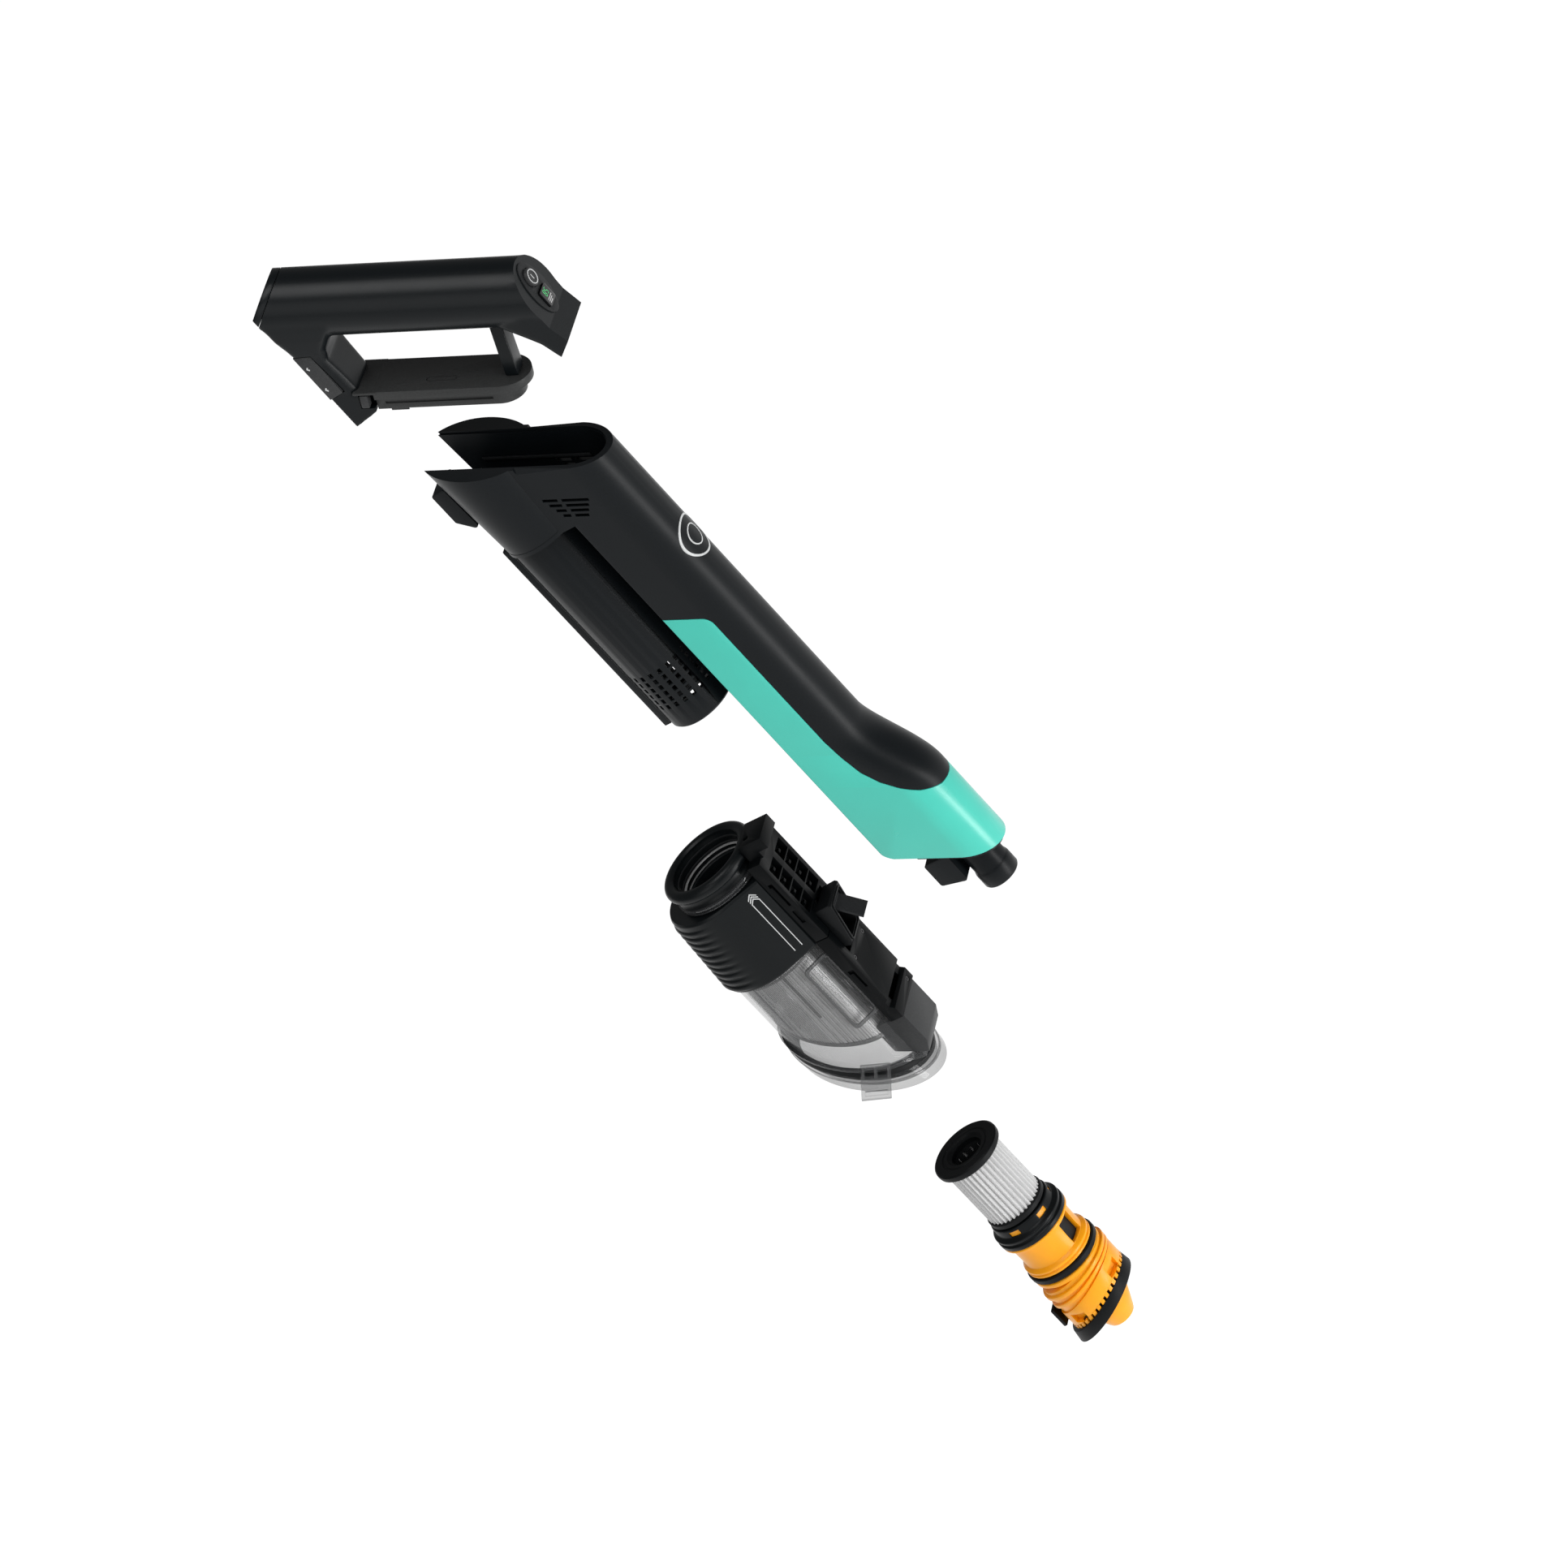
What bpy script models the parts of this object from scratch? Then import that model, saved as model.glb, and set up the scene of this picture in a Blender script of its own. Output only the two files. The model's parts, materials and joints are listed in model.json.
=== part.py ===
"""Hand unit of a cordless stick vacuum, drawn apart along its own slides.

World axes: +Z runs up the motor tube towards the handle, -Y is the front of the tool, -X its near side.
The origin is the dock face at the back of the head; the motor's open end is HOOK_UP below it.
Every assembly hangs on an empty whose own axes are X forward, Y across and Z up, in metres.
Sizes below are millimetres; mm() turns them into metres.
"""

import math

import bmesh
import bpy
from mathutils import Matrix, Vector

# ---------------------------------------------------------------- driving dimensions, in mm
GAP = 0.3                       # clearance between touching pieces

TUBE_HALF = 20.0                # half width of the slim tube
TUBE_BACK = 30.0                # its back face, forward of the motor axis
TUBE_FRONT = 71.0
NOZZLE_FRONT = 88.0
WALL = 2.4
CUT_SLOPE = 0.516               # how much the slanted cuts drop per mm forward
TOP_CUT = 201.3                 # height of each slanted cut on the motor axis
BOTTOM_CUT = -115.4
COVER_CUT = 82.3
POCKET_FLOOR = 172.2

HOOK_UP = 181.75                # the dock face, above the motor's open end
HOOK_BACK = 33.0                # and behind the motor's axis

MOTOR_R = 21.1
STRIP_HALF = 9.5                # half width of the wiring strip down the rear of the motor tube
STRIP_BACK = 24.2
MOTOR_WALL = 1.7
MOTOR_TOP = 150.0
HEAD_CENTRE = 4.0
HEAD_FOOT = 141.0
SLOT_HALF = 15.7

HANDLE_LIFT = 58.4              # how far the handle is drawn up from its seat
GRIP_R = 18.5
GRIP_AXIS = 51.2                # height of the grip's axis over the base plate
PLATE_HALF = 14.5

BIN_DOWN = 91.9                 # the bin ring's top, below the motor's end
BIN_BACK = 74.5                 # and behind the motor's axis
BODY_AXIS = -7.0                # the bin body's axis, behind its ring's axis
SHELL_R = 31.7
SLEEVE_TOP_R = 32.6
SLEEVE_FOOT_R = 35.4
SLEEVE_FOOT = -72.0
FACE = 37.7                     # the back plate's face, forward of the ring's axis
PLATE_W = 17.0
PLATE_FOOT = -140.5
LID_R = 33.8
LID_SLOPE = 0.78
LID_CUT = -154.5
LID_DEPTH = 15.0

FILTER_TOP = -252.4             # the drawn-out filter's top, below the ring
CYCLONE_AXIS = -8.0             # the cyclone's axis, behind the ring's axis
FLANGE_R = 22.2
PLEAT_R = 18.4

TURN_STEPS = 28
FINE_STEPS = 20

COLOURS = {
    "satin_black": ((0.013, 0.016, 0.018), 0.42, 0.0),
    "dark_grey": ((0.035, 0.037, 0.039), 0.5, 0.0),
    "light_grey": ((0.09, 0.09, 0.09), 0.5, 0.0),
    "teal": ((0.065, 0.56, 0.45), 0.25, 0.0),
    "orange": ((0.9, 0.36, 0.02), 0.35, 0.0),
    "clear": ((0.75, 0.77, 0.78), 0.1, 0.0),
    "rubber": ((0.012, 0.012, 0.012), 0.8, 0.0),
    "pleat": ((0.62, 0.62, 0.61), 0.85, 0.0),
    "steel": ((0.55, 0.55, 0.56), 0.3, 1.0),
    "board": ((0.02, 0.12, 0.05), 0.5, 0.0),
    "cell": ((0.05, 0.16, 0.35), 0.4, 0.0),
    "mesh": ((0.3, 0.3, 0.31), 0.4, 0.6),
    "glass": ((0.01, 0.012, 0.014), 0.08, 0.0),
    "mark": ((0.75, 0.75, 0.75), 0.4, 0.0),
}


def mm(*values):
    return tuple(0.001 * value for value in values)


# ---------------------------------------------------------------- scene, materials, frames
for old in list(bpy.data.objects):
    bpy.data.objects.remove(old, do_unlink=True)

PARTS = bpy.data.collections.new("stick_vacuum")
CUTTERS = bpy.data.collections.new("cutters")
for collection in (PARTS, CUTTERS):
    bpy.context.scene.collection.children.link(collection)


def make_material(name):
    colour, roughness, metallic = COLOURS[name]
    material = bpy.data.materials.new(name)
    material.use_nodes = True
    shader = material.node_tree.nodes["Principled BSDF"]
    shader.inputs["Base Color"].default_value = (*colour, 1.0)
    shader.inputs["Roughness"].default_value = roughness
    shader.inputs["Metallic"].default_value = metallic
    if name == "clear":
        shader.inputs["Alpha"].default_value = 0.35
    return material


MATERIALS = {name: make_material(name) for name in COLOURS}


def make_frame(name, forward, up, tilt=0.0, parent=None, across=0.0):
    """An empty at (forward, across, up) of its parent, tipped nose-down by tilt radians."""
    empty = bpy.data.objects.new(name, None)
    PARTS.objects.link(empty)
    empty.parent = parent
    empty.location = mm(forward, across, up)
    empty.rotation_euler = (0.0, tilt, 0.0)
    return empty


ROOT = make_frame("tool_frame", 0, -HOOK_UP, across=-HOOK_BACK)
ROOT.rotation_euler = (0.0, 0.0, -math.pi / 2)
HANDLE_TILT = math.atan(CUT_SLOPE)
HANDLE = make_frame("handle_frame", 17.0, 192.55 + HANDLE_LIFT, HANDLE_TILT, ROOT)
BIN = make_frame("bin_frame", -BIN_BACK, -BIN_DOWN, 0.0, ROOT)


# ---------------------------------------------------------------- shape helpers
def place(obj, frame, material=None):
    """Puts an object in a frame, as a part with a material or as a hidden cutter."""
    (PARTS if material else CUTTERS).objects.link(obj)
    obj.parent = frame
    if material:
        obj.data.materials.append(MATERIALS[material])
        obj.data.shade_smooth()
        obj.data.set_sharp_from_angle(angle=math.radians(35))
    else:
        obj.hide_render = True
        obj.display_type = "WIRE"
    return obj


def mesh_object(name, mesh_builder):
    mesh = bpy.data.meshes.new(name)
    working = bmesh.new()
    mesh_builder(working)
    bmesh.ops.recalc_face_normals(working, faces=working.faces)
    working.to_mesh(mesh)
    working.free()
    return bpy.data.objects.new(name, mesh)


def block(name, low, high, frame, material=None, bevel=0.0):
    """A box between two corners (forward, across, up)."""
    size = Vector(high) - Vector(low)

    def build(working):
        bmesh.ops.create_cube(working, size=0.001, matrix=Matrix.Diagonal((*size, 1.0)))

    obj = mesh_object(name, build)
    obj.location = mm(*((Vector(high) + Vector(low)) / 2))
    if bevel:
        edges = obj.modifiers.new("edges", "BEVEL")
        edges.width = 0.001 * bevel
        edges.segments = 2
    return place(obj, frame, material)


def rod(name, start, end, radius, frame, material=None, end_radius=None, sides=FINE_STEPS):
    """A cylinder or cone between two points (forward, across, up)."""
    start, end = Vector(start), Vector(end)
    turn = (end - start).to_track_quat("Z", "Y").to_matrix().to_4x4()

    def build(working):
        bmesh.ops.create_cone(
            working, cap_ends=True, segments=sides, radius1=0.001 * radius,
            radius2=0.001 * (radius if end_radius is None else end_radius),
            depth=0.001 * (end - start).length, matrix=turn)

    obj = mesh_object(name, build)
    obj.location = mm(*((start + end) / 2))
    return place(obj, frame, material)


def turned(name, profile, frame, material=None, axis=0.0, steps=TURN_STEPS):
    """A closed profile of (radius, height) turned round an upright axis; it runs down its outer side."""
    mesh = bpy.data.meshes.new(name)
    points = [mm(radius, 0, height) for radius, height in profile]
    mesh.from_pydata(points, [(i, (i + 1) % len(points)) for i in range(len(points))], [])
    obj = bpy.data.objects.new(name, mesh)
    obj.location = mm(axis, 0, 0)
    screw = obj.modifiers.new("turn", "SCREW")
    screw.steps = screw.render_steps = steps
    screw.use_merge_vertices = True
    screw.merge_threshold = 0.00001
    return place(obj, frame, material)


def solid_turned(name, profile, frame, material=None, axis=0.0, steps=TURN_STEPS):
    """An open profile, from the axis at the top down the outer side to the axis at the foot."""
    obj = turned(name, profile, frame, material, axis, steps)
    mesh = obj.data
    points = [vertex.co.copy() for vertex in mesh.vertices]
    mesh.clear_geometry()
    mesh.from_pydata(points, [(i, i + 1) for i in range(len(points) - 1)], [])
    return obj


def outline_mesh(name, outlines, half_thickness):
    """The mesh of flat closed outlines, extruded to both sides of their own plane."""
    curve = bpy.data.curves.new(name, "CURVE")
    curve.dimensions = "2D"
    curve.fill_mode = "BOTH"
    curve.extrude = 0.001 * half_thickness
    for outline in outlines:
        spline = curve.splines.new("POLY")
        spline.points.add(len(outline) - 1)
        for point, (u, v) in zip(spline.points, outline):
            point.co = (*mm(u, v), 0.0, 1.0)
        spline.use_cyclic_u = True
    holder = bpy.data.objects.new(name, curve)
    mesh = bpy.data.meshes.new_from_object(holder)
    bpy.data.objects.remove(holder)
    working = bmesh.new()
    working.from_mesh(mesh)
    bmesh.ops.remove_doubles(working, verts=working.verts, dist=0.000001)
    bmesh.ops.recalc_face_normals(working, faces=working.faces)
    working.to_mesh(mesh)
    working.free()
    return mesh


def slab(name, outlines, half, frame, material=None, across=0.0):
    """Side outlines of (forward, up), extruded across the tool."""
    if not isinstance(outlines[0], list):
        outlines = [outlines]
    obj = bpy.data.objects.new(name, outline_mesh(name, outlines, half))
    obj.rotation_euler = (math.pi / 2, 0.0, 0.0)
    obj.location = mm(0, across, 0)
    return place(obj, frame, material)


def column(name, outlines, foot, top, frame, material=None, forward=0.0):
    """Plan outlines of (forward, across), extruded upwards."""
    if not isinstance(outlines[0], list):
        outlines = [outlines]
    obj = bpy.data.objects.new(name, outline_mesh(name, outlines, (top - foot) / 2))
    obj.location = mm(forward, 0, (top + foot) / 2)
    return place(obj, frame, material)


def cut(obj, *cutters, operation="DIFFERENCE"):
    for cutter in cutters:
        boolean = obj.modifiers.new(cutter.name, "BOOLEAN")
        boolean.operation = operation
        boolean.object = cutter
    return obj


def arc(centre, radius, start, end, count):
    """Points on an arc, in degrees."""
    angles = (math.radians(start + (end - start) * i / count) for i in range(count + 1))
    return [(centre[0] + radius * math.cos(a), centre[1] + radius * math.sin(a)) for a in angles]


def rounded(corners, radius, count=3):
    """A closed outline with every corner rounded."""
    points = []
    for i, corner in enumerate(corners):
        here = Vector(corner)
        before = (Vector(corners[i - 1]) - here).normalized()
        after = (Vector(corners[(i + 1) % len(corners)]) - here).normalized()
        half = before.angle(after) / 2
        centre = here + (before + after).normalized() * (radius / math.sin(half))
        start = here + before * (radius / math.tan(half)) - centre
        end = here + after * (radius / math.tan(half)) - centre
        turn = start.angle_signed(end)
        for step in range(count + 1):
            spoke = Matrix.Rotation(-turn * step / count, 2) @ start
            points.append(tuple(centre + spoke))
    return points


def rectangle(low, high):
    return [(low[0], low[1]), (high[0], low[1]), (high[0], high[1]), (low[0], high[1])]


def loft(name, sections, frame, material=None):
    """A solid through sections of equally many points, given low to high."""
    def build(working):
        rings = [[working.verts.new(mm(*point)) for point in section] for section in sections]
        for lower, upper in zip(rings, rings[1:]):
            for i in range(len(lower)):
                j = (i + 1) % len(lower)
                working.faces.new((lower[i], lower[j], upper[j], upper[i]))
        working.faces.new(list(reversed(rings[0])))
        working.faces.new(rings[-1])

    return place(mesh_object(name, build), frame, material)


def slanted(height, forward, slope=CUT_SLOPE):
    """Height of a slanted cut at a distance forward."""
    return height - slope * forward


# ---------------------------------------------------------------- slim tube and its cover
def front_reach(level):
    """The tube's front, which swells into the nozzle; level is a slanted cut's height."""
    share = min(max((SWELL[-1] - level) / (SWELL[-1] - SWELL[0]), 0.0), 1.0)
    return TUBE_FRONT + (NOZZLE_FRONT - TUBE_FRONT) * share * share * (3 - 2 * share)


def tube_sections(levels, inset, back):
    half = TUBE_HALF - inset
    sections = []
    for level in levels:
        centre = front_reach(level) - TUBE_HALF
        nose = [(centre + half * math.cos(a), half * math.sin(a))
                for a in (math.radians(-90 + 18 * i) for i in range(11))]
        plan = [(back, -half)] + nose + [(back, half)]
        sections.append([(f, x, slanted(level, f)) for f, x in plan])
    return sections


SWELL = [-61.0, -54.0, -47.0, -40.0, -33.0, -25.0, -15.0]


def tube_shell(name, material):
    outer = loft(name, tube_sections([BOTTOM_CUT, *SWELL, TOP_CUT + 12], 0.0, TUBE_BACK), ROOT, material)
    inner = loft(name + "_hollow", tube_sections([BOTTOM_CUT - 20, *SWELL, 150.0], WALL, TUBE_BACK - 3), ROOT)
    return outer, inner


def cover_outline(gap):
    """Side outline of the coloured cover: a slanted top edge, a long edge and a curl to the front."""
    curl = [(54.0, -48.0), (57.0, -73.0), (69.0, -92.0), (84.0, -107.0), (96.0, -112.0)]
    points = [(20.0, slanted(COVER_CUT, 20)), *arc((46.0, 50.5), 7.0, 72, 0, 3)]
    points += curl + [(96.0, -190.0), (20.0, -190.0)]
    return [(f + gap, z + gap) if f < 90 else (f, z + gap) for f, z in points]


def body_shell():
    outer, hollow = tube_shell("body_shell", "satin_black")
    head = rod("head_barrel", (HEAD_CENTRE, 0, HEAD_FOOT), (HEAD_CENTRE, 0, 225), 25.6, ROOT,
               end_radius=29.2, sides=36)
    top = slab("top_trim", [(-60, slanted(TOP_CUT, -60)), (110, slanted(TOP_CUT, 110)), (110, 300), (-60, 300)],
               60, ROOT)
    plan = [(-50, -SLOT_HALF), *arc((51, 0), SLOT_HALF, -90, 90, 10), (-50, SLOT_HALF)]
    pocket = loft("pocket", [[(f, x, slanted(level, f)) for f, x in plan] for level in (POCKET_FLOOR, 260)], ROOT)
    bore = rod("housing_bore", (0, 0, HEAD_FOOT - 5), (0, 0, 164), MOTOR_R + GAP, ROOT, sides=TURN_STEPS)
    cover = slab("cover_space", cover_outline(0.0), 60, ROOT)
    bridge = block("head_bridge", (18, -TUBE_HALF, 141), (34, TUBE_HALF, 212), ROOT)
    cut(outer, head, bridge, operation="UNION")
    cut(outer, top, pocket, bore, hollow, cover)
    for row in range(4):
        for low, high in ((26.5 + 1.2 * row, 34.0), (36.0, 49.5 - 2.2 * row)):
            height = 174.0 - 3.9 * row
            corners = [(low, slanted(height, low)), (high, slanted(height, high)),
                       (high, slanted(height - 1.8, high)), (low, slanted(height - 1.8, low))]
            cut(outer, slab(f"vent_{row}_{int(low)}", corners, 3, ROOT, across=-20))


def side_cover():
    outer, hollow = tube_shell("side_cover", "teal")
    keep = slab("cover_keep", cover_outline(-GAP), 60, ROOT)
    cut(outer, hollow)
    cut(outer, keep, operation="INTERSECT")


def bin_channel():
    """The bent plate that closes the tube's back and takes the bin's plate, with the dirt port."""
    back, face, catch = TUBE_BACK + 0.2, FACE + 1.8, FACE + 9.4
    half = TUBE_HALF - WALL - GAP
    channel = block("bin_channel", (back, -half, 12), (back + 2, half, 130), ROOT, "satin_black")
    spans = [((back, 12), (catch + 2, 14)), ((catch, -17), (catch + 2, 14)), ((face, -17), (catch + 2, -15)),
             ((face, -132), (face + 2, -15))]
    for i, (low, high) in enumerate(spans):
        step = block(f"channel_step_{i}", (low[0], -half, low[1]), (high[0], half, high[1]), ROOT)
        cut(channel, step, operation="UNION")
    port = block("port", (face - 5, -14, -108), (face + 8, 14, -55), ROOT)
    cut(channel, port)


def dirt_duct():
    """Hood over the port that turns the air from the nozzle pipe towards the bin."""
    half, foot, front = 14.6, FACE + 4.2, 60.0
    outer = rounded([(foot, -half), (front, -half), (front, half), (foot, half)], 3)
    duct = column("dirt_duct", outer, -134, -48, ROOT, "dark_grey")
    cut(duct, column("duct_space", rectangle((foot - 3, 1.6 - half), (front - 1.6, half - 1.6)), -140, -49.6, ROOT))


def nozzle():
    plate_top = slanted(BOTTOM_CUT, 0) + 7.0
    half = TUBE_HALF - WALL - GAP
    centre = NOZZLE_FRONT - TUBE_HALF
    plan = [(TUBE_BACK + 14.5, -half), *arc((centre, 0), half, -90, 90, 10), (TUBE_BACK + 14.5, half)]
    sections = [[(f, x, slanted(level, f)) for f, x in plan] for level in (plate_top - 10.5, plate_top - 7)]
    end_plate = loft("end_plate", sections, ROOT, "satin_black")
    cut(end_plate, rod("pipe_way", (68, 0, -185), (68, 0, -120), 10.6 + GAP, ROOT))
    turned("nozzle_pipe", [(10.6, -136), (10.6, -174), (11.4, -175.5), (11.4, -184), (9.2, -184), (9.2, -136)],
           ROOT, "dark_grey", axis=68)
    block("wand_lock", (41.0, -12, -167), (56.6, 12, -150.5), ROOT, "satin_black", bevel=2.5)


def motor_housing():
    inner = MOTOR_R - MOTOR_WALL
    housing = turned("motor_housing", [(MOTOR_R, MOTOR_TOP), (MOTOR_R, 0), (inner, 0), (inner, MOTOR_TOP)],
                     ROOT, "satin_black")
    slots = 7
    vents = [block(f"air_slot_{i}", (-30, -1.6, 13), (30, 1.6, 34), ROOT) for i in range(slots)]
    for i, vent in enumerate(vents):
        vent.rotation_euler = (0, 0, math.pi * (i + 0.5) / slots)
        vent.location = mm(0, 0, 23.5)
    cut(housing, *vents)
    fit = math.degrees(math.asin(STRIP_HALF / (MOTOR_R + GAP)))
    plan = [(-STRIP_BACK, -STRIP_HALF), *arc((0, 0), MOTOR_R + GAP, 180 + fit, 180 - fit, 6), (-STRIP_BACK, STRIP_HALF)]
    column("wire_strip", plan, 3, 138, ROOT, "dark_grey")


def motor_unit():
    turned("motor_mount", [(19.0, 100), (19.0, 92), (14.2, 92), (14.2, 100)], ROOT, "rubber")
    solid_turned("motor", [(0, 112), (5, 112), (5, 108), (13.6, 108), (13.6, 62), (6, 62), (6, 58), (0, 58)],
                 ROOT, "steel", steps=FINE_STEPS)
    turned("diffuser", [(19.0, 56), (19.0, 42), (17.6, 42), (17.6, 54), (6.5, 54), (6.5, 56)], ROOT, "dark_grey")
    hub = solid_turned("impeller", [(0, 50), (5, 50), (6, 46), (16.6, 42), (16.6, 40.6), (4, 40.6), (0, 38)],
                       ROOT, "steel", steps=FINE_STEPS)
    for i in range(6):
        blade = block(f"impeller_blade_{i}", (4, -0.6, 41), (16, 0.6, 48.5), ROOT)
        blade.rotation_euler = (0, 0, math.pi * i / 3)
        blade.location = Matrix.Rotation(math.pi * i / 3, 3, "Z") @ Vector(mm(10, 0, 44.75))
        cut(hub, blade, operation="UNION")
    grille = turned("intake_ring", [(19.0, 9), (19.0, 2), (15, 2), (15, 9)], ROOT, "dark_grey")
    for i in range(3):
        bar = block(f"intake_bar_{i}", (-16.5, -0.9, 3), (16.5, 0.9, 6), ROOT)
        bar.rotation_euler = (0, 0, math.pi * i / 3)
        cut(grille, bar, operation="UNION")


def head_pieces():
    solid_turned("control_board", [(0, 157.5), (17.5, 157.5), (17.5, 155.9), (0, 155.9)], ROOT, "board")
    floor = slanted(POCKET_FLOOR, -8) + GAP
    slab("terminal_block", [(-14, floor + 3.4), (-3, floor - 2.2), (-3, floor + 5), (-14, floor + 9)], 8, ROOT,
         "dark_grey")
    hook = [(-HOOK_BACK, 192.0), (-24.3, 192.0), (-23.0, 160), (-HOOK_BACK, 171)]
    slab("hook_block", rounded(hook, 1.2, 2), 9.5, ROOT, "satin_black")
    turned("badge_ring", [(13.6, 0.7), (13.6, 0), (11.4, 0), (11.4, 0.7)], BADGE, "mark", steps=24)


BADGE = make_frame("badge_frame", TUBE_FRONT + GAP, 94.0, math.pi / 2, ROOT)


# ---------------------------------------------------------------- battery handle
def handle_shell():
    axis = GRIP_AXIS
    grip = rod("handle_shell", (-84, 0, axis), (80, 0, axis), GRIP_R, HANDLE, "satin_black", sides=36)
    leg_outline = [(-81, 47), (-45, -23), (-31.5, -13.4), (-31.5, 0.6), (-39.5, 0.6), (-53, 26), (-49, 36),
                   (-40, 42), (-70, 60)]
    nose_outline = [(40, 38), (54, 35.5), (66, 30.5), (78, 17.8), (84.6, 29.3), (76.9, 39), (63.7, 64.5), (40, 60)]
    leg = slab("handle_leg", leg_outline, 14, HANDLE)
    nose = slab("handle_nose", nose_outline, 12.5, HANDLE)
    rear = slab("rear_trim", [(-60.2, 80), (-80.2, 44), (-80.2, 20), (-120, 20), (-120, 80)], 40, HANDLE)
    foot = slab("knee_trim", [(-87.2, 59), (-55.3, -3), (-120, -3), (-120, 59)], 40, HANDLE)
    front = slab("panel_trim", [(58.6, 74.5), (77.7, 37.4), (77.7, 20), (120, 20), (120, 74.5)], 40, HANDLE)
    cells = rod("cell_bore", (-120, 0, axis), (46, 0, axis), 11.6, HANDLE, sides=24)
    button = slab("button_space", BUTTON_SPACE, 4, HANDLE, across=-14)
    nub = block("nub_space", (-39.4, -17, -10.6), (-31.2, -8.6, -1.4), HANDLE)
    cut(grip, front, foot)
    cut(grip, leg, nose, operation="UNION")
    cut(grip, rear, cells, button, nub)


BUTTON_OUTLINE = [(-68.6, 26.0), (-58.4, 26.6), (-46.6, 1.8), (-54.4, -2.6)]
BUTTON_SPACE = [(-70.5, 26.9), (-57.9, 27.5), (-45.7, 1.6), (-54.9, -4.2)]


def handle_fittings():
    axis = GRIP_AXIS
    cap = rod("rear_cap", (-96, 0, axis), (-55, 0, axis), GRIP_R, HANDLE, "satin_black", sides=36)
    keep = slab("cap_keep", [(-60.6, 80), (-80.0, 45.1), (-81.8, 48.4), (-64.4, 80)], 40, HANDLE)
    cut(cap, keep, operation="INTERSECT")
    for i, start in enumerate((-58, -7)):
        rod(f"battery_cell_{i + 1}", (start, 0, axis), (start + 50, 0, axis), 10.6, HANDLE, "cell")
    plan = [(-30.8, -PLATE_HALF), *[(39 + 15.3 * math.cos(a), PLATE_HALF * math.sin(a))
            for a in (math.radians(-90 + 18 * i) for i in range(11))], (-30.8, PLATE_HALF)]
    plate = column("base_plate", plan, -5.0, 0.0, HANDLE, "dark_grey")
    rail = block("base_rail", (-30.8, -12.2, -12.8), (41, 12.2, -4.5), HANDLE)
    cut(plate, rail, operation="UNION")
    slab("front_strut", [(42.4, 0.3), (47.0, 0.3), (45.8, 31.9), (41.0, 31.9)], 5.5, HANDLE, "satin_black")
    block("contact_block", (-26, -7, -18), (-16, 7, -13.1), HANDLE, "light_grey", bevel=0.6)
    slab("release_button", BUTTON_OUTLINE, 1.8, HANDLE, "light_grey", across=-13.0)
    block("latch_nub", (-38.9, -15.3, -10.0), (-34.2, -9.8, -2.0), HANDLE, "light_grey", bevel=0.5)


PANEL = make_frame("panel_frame", 69.8, 52.8, math.radians(62.75), HANDLE)


def control_panel():
    """Oval face on the slanted nose; its own axes are X down the nose, Z out of it."""
    half_length, half_width = 15.5, 9.3
    oval = [(half_length * math.cos(a), half_width * math.sin(a))
            for a in (math.radians(15 * i) for i in range(24))]
    bezel = column("control_panel", oval, 0.35, 1.5, PANEL, "dark_grey")
    button_space = rod("power_space", (-7.0, 0, -3), (-7.0, 0, 4), 5.6, PANEL, sides=24)
    display_space = block("display_space", (1.0, -5.2, -1), (11.6, 5.2, 4), PANEL)
    cut(bezel, button_space, display_space)
    solid_turned("power_button", [(0, 2.6), (4.4, 2.6), (5.2, 2.0), (5.2, 0.6), (0, 0.6)], PANEL, "light_grey",
                 axis=-7.0, steps=24)
    block("display_window", (1.3, -4.9, 0.4), (11.3, 4.9, 1.9), PANEL, "glass")


# ---------------------------------------------------------------- dust bin
def bin_plan(radius, half, face, count=20):
    """A round body with flat cheeks that run tangent to the edges of the back plate."""
    reach = face - BODY_AXIS
    bend = math.degrees(math.asin(radius / math.hypot(reach, half))) - math.degrees(math.atan2(half, reach))
    start = 90 - bend
    return [(face, half), *arc((BODY_AXIS, 0), radius, start, 360 - start, count), (face, -half)]


def bin_top():
    bore, step = 22.9, 20.6
    turned("bin_ring", [(26.8, 0), (28.5, -1.8), (28.5, -6.5), (26.4, -8.6), (26.0, -12.4), (step + 2.4, -12.4),
                        (step + 2.4, -9.4), (bore, -8.6), (bore, -1.4), (24.4, 0)], BIN, "satin_black", steps=36)
    turned("ring_seal", [(step + 2.0, -9.9), (step + 2.0, -12.2), (step - 0.6, -12.2), (step - 0.6, -9.9)], BIN,
           "clear", steps=36)
    turned("clear_flange", [(28.6, -12.7), (28.6, -17.4), (24.2, -17.4), (24.2, -12.7)], BIN, "clear", steps=36)


def grip_sleeve():
    plans = []
    for height, radius in ((SLEEVE_FOOT, SLEEVE_FOOT_R), (-20.5, SLEEVE_TOP_R), (-17.7, SLEEVE_TOP_R - 1.6)):
        plans.append([(f, x, height) for f, x in bin_plan(radius, 15.0, 33.0)])
    sleeve = loft("grip_sleeve", plans, BIN, "satin_black")
    cut(sleeve, rod("sleeve_hollow", (BODY_AXIS, 0, -90), (BODY_AXIS, 0, -20.2), SHELL_R - 1.6, BIN, sides=36))
    cut(sleeve, rod("sleeve_mouth", (-2, 0, -30), (-2, 0, -10), 23.4, BIN, sides=36))
    cut(sleeve, block("sleeve_trim", (28.4, -40, -90), (60, 40, 5), BIN))


def lid_plane(offset, thickness=60.0):
    """A slab that holds everything below the slanted lid joint."""
    high = [(-70, slanted(LID_CUT + offset, -70, LID_SLOPE)), (70, slanted(LID_CUT + offset, 70, LID_SLOPE))]
    return high + [(70, high[1][1] - thickness), (-70, high[0][1] - thickness)]


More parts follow.
